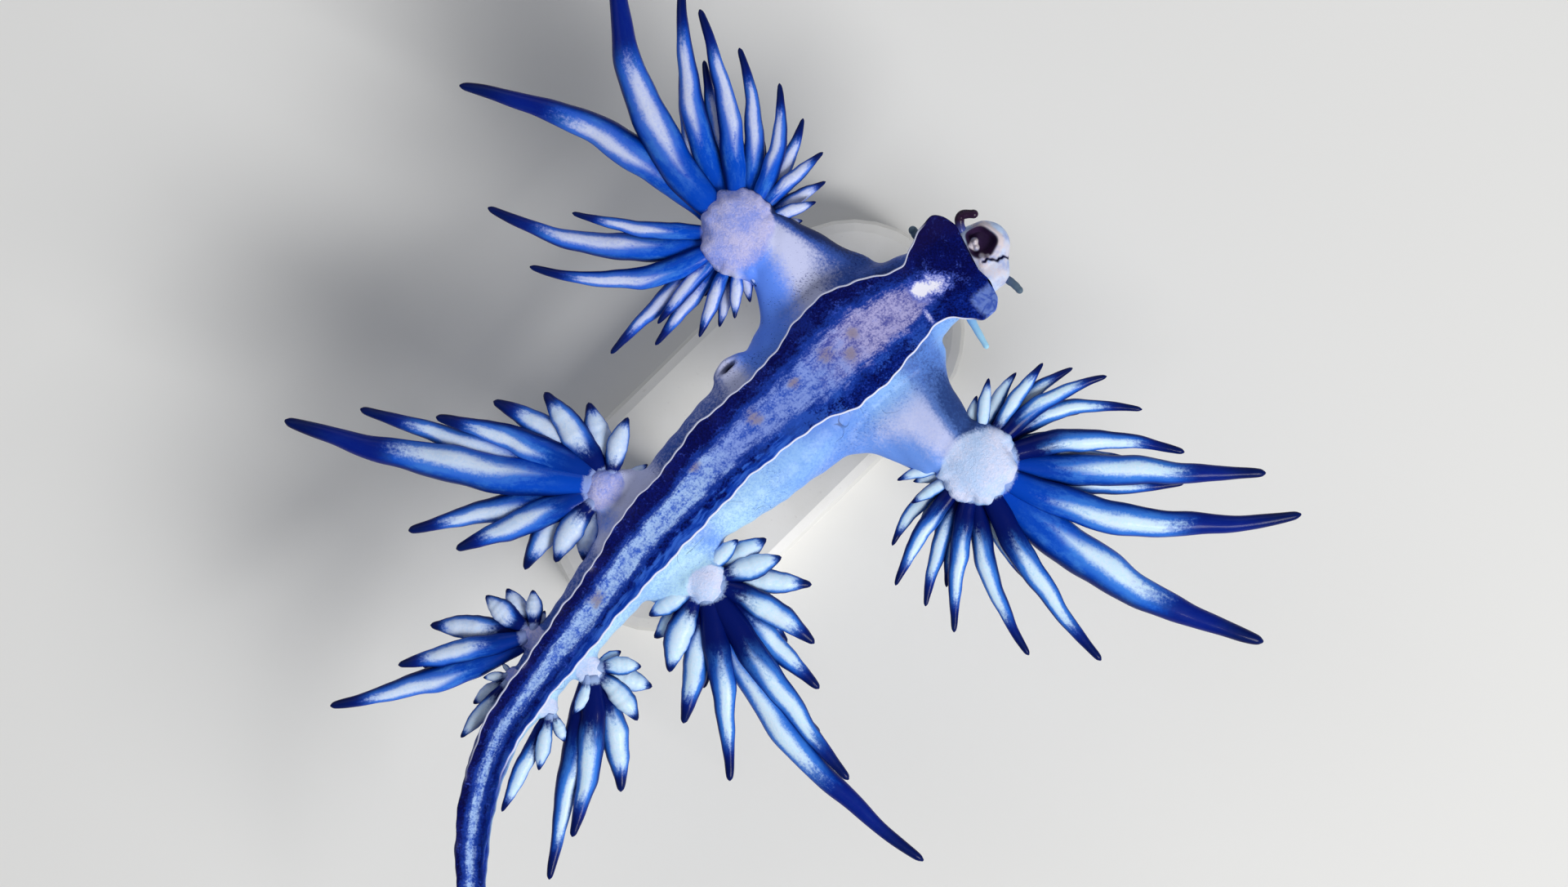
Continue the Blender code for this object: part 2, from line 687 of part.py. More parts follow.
def make_stand(parts, cutters):
    bpy.ops.mesh.primitive_cube_add(size=1)
    base = bpy.context.object
    mesh = base.data
    bpy.data.objects.remove(base)
    turn = math.radians(STAND_TURN)
    bm = bmesh.new()
    bm.from_mesh(mesh)
    for vertex in bm.verts:
        vertex.co.x *= STAND_LENGTH
        vertex.co.y *= STAND_WIDTH
        vertex.co.z = (vertex.co.z + 0.5) * STAND_THICKNESS
    upright = [e for e in bm.edges if abs(e.verts[0].co.z - e.verts[1].co.z) > STAND_THICKNESS / 2]
    bmesh.ops.bevel(bm, geom=upright, offset=STAND_WIDTH * 0.4999, segments=8, profile=0.5, affect="EDGES")
    bmesh.ops.remove_doubles(bm, verts=bm.verts, dist=0.01)
    rim = [e for e in bm.edges if all(v.co.z > STAND_THICKNESS - 0.01 for v in e.verts)]
    bmesh.ops.bevel(bm, geom=rim, offset=STAND_EDGE, segments=2, profile=0.5, affect="EDGES")
    bmesh.ops.triangulate(bm, faces=bm.faces)
    bmesh.ops.recalc_face_normals(bm, faces=bm.faces)
    for vertex in bm.verts:
        x, y = vertex.co.x, vertex.co.y
        vertex.co.x = (x * math.cos(turn) - y * math.sin(turn)) * MM
        vertex.co.y = (x * math.sin(turn) + y * math.cos(turn)) * MM
        vertex.co.z *= MM
    bm.to_mesh(mesh)
    bm.free()
    new_object("stand_base", mesh, parts, "stand")
    for name, along in RODS.items():
        foot = on_body(along, 0, 0)
        foot.z = STAND_THICKNESS + GAP
        top = SOLE_HEIGHT - blend(FLANKS, along, 2) + REACH_IN
        rod = tube(name, [foot, Vector((foot.x, foot.y, top))], [ROD_RADIUS] * 2, 12, parts, "rod")
        boolean(rod, cutters, "DIFFERENCE")


def main():
    for obj in list(bpy.data.objects):
        bpy.data.objects.remove(obj)
    parts = helpers("blue_dragon_sea_slug")
    cutters = helpers("cutters")
    make_body(parts)
    make_sole(parts)
    make_head(parts)

    end = BODY_LENGTHS[-1][2]
    whole_body = [body_ring(along, GAP) for along in spaced(BODY_LENGTHS[0][1] - GAP, end + GAP, 1.3)]
    as_cutter(loft("body_cutter", whole_body, cutters))
    whole_sole = [sole_ring(along, GAP) for along in spaced(-GAP, 3.2, 0.3) + spaced(3.8, end + GAP, 1.1)]
    as_cutter(loft("sole_cutter", whole_sole, cutters))
    as_cutter(loft("head_cutter", [head_ring(row, GAP) for row in HEAD], cutters))
    make_feelers(parts, cutters)
    make_stand(parts, cutters)
    make_arms(parts, cutters)
    for name in ARMS:
        as_cutter(loft(name + "_cutter", arm_rings(name, GAP), cutters))
    make_papilla(parts, cutters)
    for name in FANS:
        make_fan(name, parts, cutters)


main()
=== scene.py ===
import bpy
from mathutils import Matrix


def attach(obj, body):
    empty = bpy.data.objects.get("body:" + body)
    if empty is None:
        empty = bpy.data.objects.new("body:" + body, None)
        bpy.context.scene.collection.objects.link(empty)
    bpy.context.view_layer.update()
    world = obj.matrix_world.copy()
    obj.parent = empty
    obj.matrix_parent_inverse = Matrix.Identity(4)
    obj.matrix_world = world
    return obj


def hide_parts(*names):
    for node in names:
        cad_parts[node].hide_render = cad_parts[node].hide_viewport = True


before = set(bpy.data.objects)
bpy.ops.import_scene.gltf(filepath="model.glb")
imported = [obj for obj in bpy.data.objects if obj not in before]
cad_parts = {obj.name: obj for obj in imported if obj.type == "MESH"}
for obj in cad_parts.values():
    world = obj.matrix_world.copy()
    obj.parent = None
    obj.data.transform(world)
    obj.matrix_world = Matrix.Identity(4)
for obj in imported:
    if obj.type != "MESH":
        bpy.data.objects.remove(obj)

"""Blue dragon sea slug, life size, belly up on its display stand.

Sizes are in millimetres until a mesh is finished, in the frame of the solids: +Z up, the origin in
the middle of the stand's underside. Along means the distance from the front edge of the foot
towards the tail, aside is towards the animal's own right side, and levels count from the foot.
"""

import math

import bmesh
import bpy
import numpy as np
from mathutils import Vector, noise
from mathutils.kdtree import KDTree

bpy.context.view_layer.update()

MM = 0.001
FOOT_LEVEL = 14.0
TAIL_END = 37.0
TAIL_DIP = 1.2
TAIL_DIP_START = 22.0

# Middle line of the foot, from its front edge to the tip of the tail: x, y.
ROUTE = (
    (8.5, 6.24), (6.58, 5.13), (4.57, 3.72), (2.93, 2.52), (0.66, 0.57), (-1.3, -1.2),
    (-3.97, -4.0), (-6.14, -6.87), (-8.5, -10.0), (-9.85, -12.0), (-10.7, -14.6), (-10.95, -17.4),
    (-10.75, -20.2), (-10.24, -22.7),
)
# Along, and the foot's half-width on the right and on the left.
FOOT_HALF = (
    (0.0, 2.0, 1.95), (0.3, 2.25, 2.1), (0.8, 2.35, 2.12), (1.3, 2.2, 1.86), (1.9, 1.76, 1.42),
    (2.5, 1.38, 1.3), (3.2, 1.48, 1.42), (4.0, 1.8, 1.66), (5.0, 2.09, 1.98), (5.9, 2.22, 2.08),
    (6.9, 2.04, 2.09), (8.0, 1.68, 1.81), (9.0, 1.5, 1.59), (10.5, 1.51, 1.44), (12.1, 1.53, 1.4),
    (14.2, 1.27, 1.4), (16.0, 1.23, 1.43), (18.0, 1.08, 1.18), (19.8, 0.97, 1.04),
    (23.3, 0.86, 0.84), (26.5, 0.75, 0.74), (31.2, 0.58, 0.55), (34.6, 0.36, 0.36),
    (37.0, 0.16, 0.16),
)
# The white patch near the front of the foot: along, aside, half-lengths, strength.
FOOT_PATCHES = (
    (2.38, 0.16, 0.42, 0.42, 1.15), (1.95, 0.05, 0.6, 0.5, 0.88), (1.45, -0.1, 0.6, 0.4, 0.5),
    (2.72, -0.85, 0.13, 0.34, 0.85), (2.2, -0.45, 0.3, 0.22, 0.5),
)
# Along, and the stripe's half-width on the right and on the left.
STRIPE_HALF = (
    (1.2, -0.6, -0.6), (2.1, 0.3, 0.3), (2.7, 0.45, 0.45), (3.5, 0.66, 0.7), (4.5, 0.8, 0.78),
    (5.5, 0.9, 0.82), (6.2, 0.85, 0.86), (7.0, 0.75, 0.95), (8.0, 0.62, 0.88), (9.0, 0.5, 0.7),
    (10.4, 0.52, 0.62), (11.3, 0.48, 0.45), (12.3, 0.38, 0.62), (13.1, 0.48, 0.46),
    (14.0, 0.38, 0.6), (15.2, 0.26, 0.5), (18.0, 0.33, 0.42), (20.5, 0.28, 0.36),
    (23.0, 0.22, 0.22), (25.5, 0.16, 0.13), (31.0, 0.17, 0.11), (35.5, 0.08, 0.05),
)
# Half the width of the stripe's soft edge, in front and towards the tail.
STRIPE_EDGE = 0.22
TAIL_STRIPE_EDGE = 0.1
# Tan blotches on the stripe: along, aside, half-size.
TAN_SPOTS = (
    (5.5, 0.3, 0.3), (6.0, -0.3, 0.36), (6.8, 0.28, 0.42), (8.4, 0.24, 0.3), (10.45, 0.24, 0.4),
    (13.4, 0.45, 0.3), (19.6, 0.1, 0.4),
)
# Along, half-width of the flanks on the right and on the left, and depth below the foot.
FLANKS = (
    (0.9, 1.5, 1.5, 2.4), (2.5, 1.75, 1.75, 2.9), (4.7, 2.45, 2.45, 3.4), (6.7, 2.7, 2.7, 3.5),
    (8.4, 2.4, 2.85, 3.4), (10.3, 2.2, 3.05, 3.3), (12.0, 2.02, 2.9, 3.15), (14.4, 1.78, 2.35, 2.9),
    (18.0, 1.46, 1.55, 2.5), (21.5, 1.17, 1.17, 2.1), (23.7, 0.98, 0.98, 1.85),
    (26.1, 0.84, 0.84, 1.65), (31.0, 0.68, 0.68, 1.35), (34.6, 0.42, 0.42, 0.95),
    (37.0, 0.2, 0.2, 0.5),
)
# The level of the flanks' upper edge; half the foot's width at its front edge; where its lobes end.
FLANK_TOP = -0.3
FRONT_HALF = 1.45
LOBE_END = 0.7
# Waves of the foot's right edge and of its left edge: height, length, phase.
EDGE_WAVES = (
    ((0.03, 1.7, 0.3), (0.018, 0.71, 2.0), (0.03, 4.1, 1.0)),
    ((0.03, 1.9, 2.3), (0.018, 0.77, 0.6), (0.03, 3.7, 2.6)),
)
# The sole: the level of its rim, how far the rim's edge is rounded down and over which width, the
# depth of the trough between the rims, the level of its underside at the edge and how much deeper
# it lies in the middle, and how far the middle of its front edge lies behind the lobes.
SOLE_TOP = -0.06
EDGE_DROP, EDGE_ROUND = 0.08, 0.035
TROUGH_DEPTH = 0.13
SOLE_UNDER, SOLE_THICKNESS = -0.12, 0.36
NOTCH_DEPTH = 0.12
# Waves of the foot's front edge: aside, half-size, depth backwards.
FRONT_WAVES = ((0.5, 0.4, 0.08), (-0.85, 0.42, -0.14))

# The head's forms: place along and aside, level, half-lengths along, aside and upwards.
HEAD_FORMS = (
    (0.7, 0.0, -1.6, 1.9, 1.45, 0.85), (-0.3, 0.15, -1.6, 1.0, 1.35, 0.8),
    (-0.72, 0.4, -1.3, 0.92, 1.0, 0.72), (-0.36, -0.6, -1.35, 0.76, 0.78, 0.64),
)
MOUTH = (-0.54, 0.6)
MOUTH_HALF = (0.6, 0.68)
MOUTH_DEPTH = 0.42
# Pale folds inside the mouth and beside its crease: along, aside, half-size, height.
MOUTH_FOLDS = (
    (-0.35, 0.76, 0.13, 0.34), (-0.27, 0.5, 0.13, 0.28), (-0.12, 0.66, 0.12, 0.16),
    (-0.3, 0.12, 0.14, 0.18), (-0.52, 0.0, 0.1, 0.14), (-0.2, -0.16, 0.16, 0.12),
)
LIP_HEIGHT = 0.08
CREASE_SLOPE = 0.375
CREASE_HALF, CREASE_DEPTH = 0.055, 0.14

# Each feeler: its points along, aside and level, its radius at the root and at the tip.
FEELERS = {
    "oral_tentacle_right": (
        ((-0.1, 1.0, -1.4), (-0.16, 1.5, -1.2), (-0.4, 1.86, -1.1), (-0.86, 1.66, -1.0)),
        (0.21, 0.17),
    ),
    "oral_tentacle_left": (
        ((-0.5, -0.7, -1.5), (-0.7, -1.1, -1.35), (-0.85, -1.45, -1.25), (-0.92, -1.76, -1.2)),
        (0.19, 0.14),
    ),
    "rhinophore_right": (
        ((1.2, 0.8, -1.9), (1.36, 1.5, -1.8), (1.42, 2.0, -1.7), (1.46, 2.3, -1.65)),
        (0.25, 0.17),
    ),
    "rhinophore_left": (
        ((1.1, -0.8, -2.0), (1.2, -1.5, -1.85), (1.24, -2.2, -1.7), (1.24, -3.0, -1.6)),
        (0.24, 0.11),
    ),
}

# 0 is a smoky feeler and 1 a pale blue one.
FEELER_TONES = {"rhinophore_left": 1.0, "rhinophore_right": 0.25, "oral_tentacle_left": 0.2}
# The rounded end of a feeler: distance out and radius, as shares of the radius at its tip.
FEELER_CAP = ((0.35, 0.92), (0.65, 0.74), (0.88, 0.44))

# The small tube on the right flank: its place along and aside, its level, its half-lengths.
PAPILLA = (9.85, 2.12, -1.3)
PAPILLA_HALF = (0.95, 0.6, 0.58)
# Its pore: place from the tube's middle, half-lengths, depth, and the height of its lip.
PORE = (0.1, 0.26)
PORE_HALF = (0.4, 0.13)
PORE_DEPTH, PORE_LIP = 0.3, 0.06
# The light spot beside the pore: place from the tube's middle, and size.
TUBE_LIGHT = (-0.1, -0.3, 0.38)

# Each arm: its level and half-thickness at the body and at its end, then sections outwards, each
# as its front edge and its rear edge in plan.
ARMS = {
    "arm_front_right": (
        (-1.95, 1.0, -1.55, 0.82),
        (
            ((4.9, 5.3), (0.3, 1.3)), ((4.6, 6.4), (-0.35, 2.9)), ((3.3, 6.95), (0.15, 3.75)),
            ((2.4, 7.5), (0.1, 4.6)), ((1.7, 7.85), (-0.15, 5.4)), ((0.8, 8.4), (-0.7, 6.2)),
        ),
    ),
    "arm_front_left": (
        (-1.95, 1.0, -1.55, 0.82),
        (
            ((6.2, 3.9), (1.3, -0.5)), ((7.4, 3.1), (2.4, -1.9)), ((7.4, 2.3), (3.3, -1.35)),
            ((7.6, 1.55), (4.2, -1.1)), ((8.0, 0.95), (5.1, -1.35)), ((8.4, 0.1), (6.6, -2.1)),
        ),
    ),
    "arm_middle_right": (
        (-1.6, 0.8, -1.45, 0.6),
        (
            ((-3.7, -2.8), (-5.2, -4.6)), ((-4.5, -1.7), (-6.2, -3.9)),
            ((-5.1, -1.65), (-6.2, -3.3)),
        ),
    ),
    "arm_middle_left": (
        (-1.6, 0.8, -1.45, 0.6),
        (
            ((-2.6, -4.0), (-4.6, -6.3)), ((-1.0, -4.7), (-3.7, -7.1)),
            ((-1.35, -5.4), (-2.8, -6.8)),
        ),
    ),
}

# The skin's tone, with painted shade and highlights, goes from slate at -0.2 by silver at 0.27 to
# periwinkle at 0.65. For each
# arm: its headward edge, dark with painted shade, its tailward edge, and the shares of its width
# where the painted highlight of the ridge begins, is reached, is left, and ends.
ARM_SHADING = {
    "arm_front_right": (-0.34, 0.68, (0.02, 0.22, 0.3, 0.8)),
    "arm_front_left": (-0.34, 0.64, (0.08, 0.46, 0.5, 0.76)),
    "arm_middle_right": (0.0, 0.52, (0.2, 0.5, 0.5, 0.75)),
    "arm_middle_left": (0.3, 0.3, (0.1, 0.4, 0.5, 0.9)),
}
# The painted highlight along an arm's ridge, on the same scale.
RIDGE_HIGHLIGHT = 0.27
# How much lighter the headward edge of an arm is next to the body, with less painted shade there.
ROOT_LIFT = 0.26
# The tone of the flank on the right and on the left: partly its own, the right darker partly as
# painted shade and the left lighter partly as painted light.
FLANK_TONES_AND_SHADING = (0.03, 0.27)

# Each fan: the pad's place in plan, its level, its half-lengths in x and y and its half-thickness;
# the stretch of rim that bears cerata, in degrees from +X; the width of a ceras for no length and
# for each millimetre; and its cerata in order. A ceras is the direction of its tip from the pad's
# middle in degrees, its reach from there, the lean of its root in degrees, and its girth as a share
# of the usual.
FANS = {
    "cerata_front_right": (
        (-0.63, 7.4), -1.55, (1.45, 1.7, 0.85), (21, 285), (0.38, 0.075),
        (
            (11, 2.5, 0, 1), (22, 3.2, 0, 1), (31, 3.9, 0, 1), (44, 4.5, 3, 1), (61, 5.1, -15, 1),
            (75, 6.0, -25, 1), (90, 7.2, -20, 1), (100, 8.8, -10, 1), (103, 9.9, 14, 1),
            (113, 12.3, 27, 1.22), (152, 12.3, -19, 1.1), (173, 6.5, 11, 0.9), (174, 9.8, 24, 1.05),
            (189, 8.2, 32, 1), (223, 6.8, -4, 1), (228, 4.7, -4, 1), (233, 5.4, 0, 1),
            (249, 4.3, 0, 1), (258, 3.7, 0, 1), (267, 3.3, 0, 1), (279, 2.7, 0, 1),
            (288, 2.2, 0, 1),
        ),
    ),
    "cerata_front_left": (
        (8.6, -1.48), -1.55, (1.5, 1.5, 0.85), (98, -182), (0.38, 0.075),
        (
            (91, 2.6, 25, 1), (83, 3.3, 4, 1), (67, 3.8, 17, 1), (57, 4.6, 5, 1), (45, 5.2, 21, 1),
            (34, 6.0, 21, 1), (18, 6.7, 37, 1), (3, 8.0, 20, 1.05), (-2, 11.2, -2, 1.1),
            (-9, 12.7, -22, 1.05), (-32, 13.1, -15, 1.25), (-58, 9.0, -9, 1.05), (-75, 7.7, -19, 1),
            (-98, 6.6, -8, 1), (-110, 5.9, -11, 1), (-124, 5.7, -12, 1), (-136, 4.6, -25, 1),
            (-149, 3.0, 0, 1), (-164, 2.6, 0, 1), (-168, 3.2, -14, 1), (-185, 2.4, -20, 1),
        ),
    ),
    "cerata_middle_right": (
        (-5.8, -2.48), -1.3, (0.85, 0.8, 0.62), (14, 262), (0.76, 0.03),
        (
            (30, 1.9, 0, 0.75), (72, 2.9, 14, 0.9), (101, 3.4, 0, 1.1), (122, 4.4, 0, 1.2),
            (142, 5.5, -12, 1.2), (157, 7.1, -9, 1.1), (162, 10.0, 1, 1), (168, 12.7, 7, 1.2),
            (192, 7.8, -2, 1.05), (202, 6.2, 0, 1.15), (225, 4.4, -25, 1.15), (236, 3.4, -17, 1.1),
            (254, 2.9, -17, 1),
        ),
    ),
    "cerata_middle_left": (
        (-1.93, -6.11), -1.3, (0.78, 0.75, 0.62), (84, -194), (0.76, 0.03),
        (
            (75, 1.8, 0, 1), (53, 2.1, 12, 1), (36, 2.9, 4, 1), (19, 3.1, -4, 1), (-1, 4.1, 3, 1),
            (-29, 4.8, 13, 1.1), (-43, 6.0, 0, 1.05), (-54, 9.4, -4, 1), (-52, 13.7, -18, 0.95),
            (-83, 7.7, 6, 0.95), (-99, 5.5, 7, 1.1), (-112, 3.7, -12, 1.1), (-133, 2.9, 10, 1),
            (-150, 2.5, 0, 1), (-166, 2.1, -8, 1), (-182, 1.5, -17, 1),
        ),
    ),
    "cerata_rear_right": (
        (-8.57, -8.16), -1.1, (0.5, 0.5, 0.5), (60, 225), (0.7, 0.03),
        (
            (65, 1.1, 0, 1), (90, 1.8, -8, 1), (119, 2.1, 0, 1), (139, 2.4, 4, 1),
            (174, 4.0, -3, 1.1), (192, 5.3, 0, 1), (199, 8.3, 8, 1),
        ),
    ),
    "cerata_rear_left": (
        (-6.39, -9.42), -1.1, (0.55, 0.55, 0.5), (35, -120), (0.7, 0.03),
        (
            (30, 1.4, 0, 1), (3, 2.0, 8, 1), (-16, 2.5, 0, 1), (-47, 2.7, 15, 1),
            (-76, 4.9, 13, 1.15), (-96, 6.5, 12, 1.05), (-101, 8.3, 0, 0.9), (-110, 1.8, 25, 0.8),
        ),
    ),
    "cerata_last_right": (
        (-9.36, -9.77), -1.05, (0.42, 0.42, 0.42), (80, 240), (0.5, 0.03),
        ((124, 0.7, 0, 1), (178, 1.1, 0, 1), (213, 1.8, 0, 1), (229, 3.0, 0, 1)),
    ),
    "cerata_last_left": (
        (-7.92, -10.93), -1.05, (0.42, 0.42, 0.42), (-40, -128), (0.5, 0.03),
        ((-66, 1.4, 0, 1), (-100, 2.4, 0, 1), (-115, 4.4, 0, 1)),
    ),
}
# A ceras is never plumper for its length than this, and each pair of fans is plumper by its factor.
MOST_PLUMP = 0.36
PLUMPER = {"front": 1.06, "middle": 1.17, "rear": 1.2, "last": 1.12}
# From lilac, 0, to cyan, 1; the fans on the left are nearly cyan.
TONES = {"front_right": 0.1, "middle_right": 0.55, "rear_right": 0.5, "last_right": 0.7}
# A ceras bends halfway, droops by a share of its length, and stands in turn above and below the
# middle of its fan. Its root lies inside the pad, and the last few at each end of a fan rise.
CERAS_BEND = 0.5
CERAS_DROOP = 0.075
CERAS_TIER = 0.2
ROOT_REACH = 0.4
ROOT_DEPTH = 0.2
END_LIFT = 0.3
END_COUNT = 3
# The lower row of each fan: the least reach above it, its share of that reach, that share where its
# neighbours stand wide apart, the degrees apart at which it is left out, and its level.
LOWER_LEAST = 2.6
LOWER_REACH = (0.72, 0.84, 0.66, 0.78)
LOWER_ROOM = 0.34
LOWER_APART = 20
LOWER_LEVEL = -0.62
CERAS_FLATNESS = 0.82
# Share of the length and share of the greatest radius, on a long ceras and on a short one.
LONG_OUTLINE = (
    (0, 0.62), (0.1, 0.78), (0.2, 0.92), (0.33, 1), (0.45, 0.96), (0.6, 0.78), (0.75, 0.57),
    (0.87, 0.41), (0.95, 0.31), (0.98, 0.25), (0.993, 0.17), (1, 0.07),
)
SHORT_OUTLINE = (
    (0, 0.46), (0.2, 0.64), (0.38, 0.87), (0.55, 1), (0.68, 0.93), (0.81, 0.68), (0.91, 0.41),
    (0.96, 0.27), (0.985, 0.17), (1, 0.05),
)
SHORT_REACH = 2.5
LONG_REACH = 8.0

# The blunt end of a ceras, as a share of the radius there.
CERAS_POINT = 0.4
# A pad's rim: its place and half-width as shares of the pad; the half-width of the bulge at each
# ceras, the hollow between two as a share of the bulge, and its height; and the unevenness of its
# skin, as noise for each millimetre and height.
RIM_PLACE, RIM_HALF = 0.98, 0.16
BULGE_HALF, BULGE_GAP, BULGE_HEIGHT = 0.24, -0.6, 0.12
PAD_NOISE, PAD_UNEVEN = 1.4, 0.2

# How finely each form is made: rings, sides, or steps to a stretch.
TRUNK_RINGS, TRUNK_SIDES = 150, 44
ARM_STEPS, ARM_SIDES = 5, 36
BUN_RINGS, BUN_SIDES = 19, 48
FOOT_TOP, FOOT_BELOW = 49, 11
FRONT_RINGS, FOOT_RINGS, FRONT_END = 28, 600, 0.6
CERAS_RINGS, CERAS_SIDES = 56, 24
TIP_CROWDING = 1.4
FEELER_STEPS, FEELER_SIDES = 8, 20
COLLAR_SIDES = 48
SKIN_VOXEL = 0.1
SKIN_SMOOTHING = 60
SHADE_ROUNDS = 60
# The head's faces are halved within each of these distances of the mouth, above this height.
HEAD_REACHES = (2.2, 1.25)
HEAD_FLOOR = 12.0
# Smoothing draws the pads in, so they start wider by this factor.
PAD_SPREAD = 1.03
# Each rod and its place along the body.
RODS = (("stand_rod_front", 6.0), ("stand_rod_rear", 15.0))
ROD_RADIUS = 0.8
STAND_TOP = 3.0
# The ring round a rod's foot and the cup under the back: their ends, in height above the stand and
# above the back; the gap round the rod; how much wider the ring's lower end and the cup's upper end
# are, the cup's as a negative number.
RING = (0, 0.9, 0.12, 0.45)
CUP = (-1.1, 0.35, 0.15, -0.35)
# The share of its strip of the map that a ceras leaves free on each side.
MAP_MARGIN = 0.03

# The picture: its width in points, a point's size in its plane, the camera's distance from that
# plane, which lies 12.5 mm up, and the camera's place in metres.
PICTURE_WIDTH = 1920
POINT = 0.0315
CAMERA_DISTANCE = 0.2
CAMERA_PLACE = (1.1025 * MM, -0.7245 * MM, 0.2125)
SENSOR = 36
# In metres.
FLOOR_SIZE = 1.2
LIGHT_AIM = (0, 0, 0.012)


def table_value(rows, places, column=1):
    """Values of a column of a table at an array of places, on smooth curves through its rows."""
    xs = np.array([row[0] for row in rows], float)
    ys = np.array([row[column] for row in rows], float)
    steps = np.diff(ys) / np.diff(xs)
    slopes = np.zeros(len(xs))
    both = steps[:-1] * steps[1:] > 0
    before, after = steps[:-1][both], steps[1:][both]
    slopes[1:-1][both] = 2 * before * after / (before + after)
    places = np.clip(places, xs[0], xs[-1])
    i = np.clip(np.searchsorted(xs, places, side="right") - 1, 0, len(xs) - 2)
    width = xs[i + 1] - xs[i]
    t = (places - xs[i]) / width
    return (
        (1 + 2 * t) * (1 - t) ** 2 * ys[i]
        + t * (1 - t) ** 2 * width * slopes[i]
        + t * t * (3 - 2 * t) * ys[i + 1]
        + t * t * (t - 1) * width * slopes[i + 1]
    )


def smooth_curve(points, count):
    """Points and directions on a smooth curve through points, count to a stretch."""
    points = np.array(points, float)
    last = len(points) - 1
    places, directions = [], []
    for i in range(last):
        a, b, c, d = (points[min(max(k, 0), last)] for k in range(i - 1, i + 3))
        for k in range(count + (i == last - 1)):
            t = k / count
            bend = 2 * a - 5 * b + 4 * c - d
            twist = 3 * b - a - 3 * c + d
            places.append(0.5 * (2 * b + (c - a) * t + bend * t**2 + twist * t**3))
            directions.append(0.5 * ((c - a) + 2 * bend * t + 3 * twist * t**2))
    return np.array(places), np.array(directions)


def unit(rows):
    """Rows of an array, each made 1 long."""
    return rows / np.linalg.norm(rows, axis=-1, keepdims=True)


ROUTE_POINTS, ROUTE_DIRECTIONS = smooth_curve(ROUTE, 60)
ROUTE_STEPS = np.linalg.norm(np.diff(ROUTE_POINTS, axis=0), axis=1)
ROUTE_LENGTHS = np.concatenate([[0], np.cumsum(ROUTE_STEPS)])
ROUTE_BACK = unit(ROUTE_DIRECTIONS)


def dip_at(along):
    """How far the tail has sunk below the level of the foot."""
    return TAIL_DIP * (np.maximum(along - TAIL_DIP_START, 0) / (TAIL_END - TAIL_DIP_START)) ** 2


def body_point(along, aside, level):
    """World places in millimetres of arrays of points given along, aside and by level."""
    places = (np.asarray(values, float) for values in (along, aside, level))
    along, aside, level = np.broadcast_arrays(*places)
    back, middle = (
        np.stack([np.interp(along, ROUTE_LENGTHS, rows[:, c]) for c in (0, 1)], -1)
        for rows in (ROUTE_BACK, ROUTE_POINTS)
    )
    back = unit(back)
    middle += back * np.minimum(along, 0)[..., None]
    right = np.stack([back[..., 1], -back[..., 0]], -1)
    plan = middle + right * aside[..., None]
    return np.concatenate([plan, (FOOT_LEVEL - dip_at(along) + level)[..., None]], -1)


def body_place(points):
    """Along, aside and level of world places: the reverse of body_point."""
    tree = KDTree(len(ROUTE_POINTS))
    for k, point in enumerate(ROUTE_POINTS):
        tree.insert((*point, 0), k)
    tree.balance()
    nearest = np.array([tree.find((x, y, 0))[1] for x, y, _ in points])
    offset = points[:, :2] - ROUTE_POINTS[nearest]
    back = ROUTE_BACK[nearest]
    along = ROUTE_LENGTHS[nearest] + (offset * back).sum(1)
    aside = offset[:, 0] * back[:, 1] - offset[:, 1] * back[:, 0]
    return along, aside, points[:, 2] - FOOT_LEVEL + dip_at(along)


def rise(values, low, high):
    """0 up to low, 1 from high, smooth between; high may be the lower one."""
    t = np.clip((values - low) / (high - low), 0, 1)
    return t * t * (3 - 2 * t)


def bell(distance, size):
    """1 at no distance, falling softly to nothing; at its size it has fallen to 0.37."""
    return np.exp(-((distance / size) ** 2))


def by_side(rows, places, on_right):
    """Half-widths from a table that holds them for the right and then for the left."""
    return np.where(on_right, table_value(rows, places, 1), table_value(rows, places, 2))


def ripple(values, *waves):
    """A sum of sines: each wave is its height, its length and its phase."""
    return sum(
        height * np.sin(2 * np.pi * values / length + phase) for height, length, phase in waves
    )


def mesh_of_rings(name, rings, pole_start=None, pole_end=None):
    """A closed mesh object in millimetres through rings of equal counts, of n points each."""
    rings = np.array(rings)
    count, sides = rings.shape[:2]
    points = [tuple(point) for ring in rings for point in ring]
    faces = []
    for i in range(count - 1):
        for k in range(sides):
            n = (k + 1) % sides
            faces.append((i * sides + k, i * sides + n, (i + 1) * sides + n, (i + 1) * sides + k))
    for pole, row, turn in ((pole_start, 0, 1), (pole_end, count - 1, -1)):
        around = [row * sides + k for k in range(sides)][::turn]
        if pole is None:
            faces.append(tuple(reversed(around)))
        else:
            points.append(tuple(pole))
            for k in range(sides):
                faces.append((around[(k + 1) % sides], around[k], len(points) - 1))
    return closed_object(name, points, faces)


def closed_object(name, points, faces, maps=None):
    """A mesh object with every face turned outwards, and with its UV map where one is given."""
    mesh = bpy.data.meshes.new(name)
    mesh.from_pydata(points, [], faces)
    if maps:
        layer = mesh.uv_layers.new(name="OFBake")
        layer.data.foreach_set("uv", np.array(maps, np.float32).ravel())
    obj = bpy.data.objects.new(name, mesh)
    bpy.context.scene.collection.objects.link(obj)
    select_only(obj)
    bpy.ops.object.mode_set(mode="EDIT")
    bpy.ops.mesh.select_all(action="SELECT")
    bpy.ops.mesh.normals_make_consistent(inside=False)
    bpy.ops.object.mode_set(mode="OBJECT")
    return obj


def select_only(*objects):
    bpy.ops.object.select_all(action="DESELECT")
    for obj in objects:
        obj.select_set(True)
    bpy.context.view_layer.objects.active = objects[0]


def points_of(obj):
    points = np.empty(len(obj.data.vertices) * 3)
    obj.data.vertices.foreach_get("co", points)
    return points.reshape(-1, 3)


def set_points(obj, points):
    obj.data.vertices.foreach_set("co", np.ascontiguousarray(points, dtype=np.float32).ravel())
    obj.data.update()


def set_attributes(obj, **marks):
    for name, values in marks.items():
        layer = obj.data.attributes.new(name, "FLOAT", "POINT")
        layer.data.foreach_set("value", np.ascontiguousarray(values, dtype=np.float32))


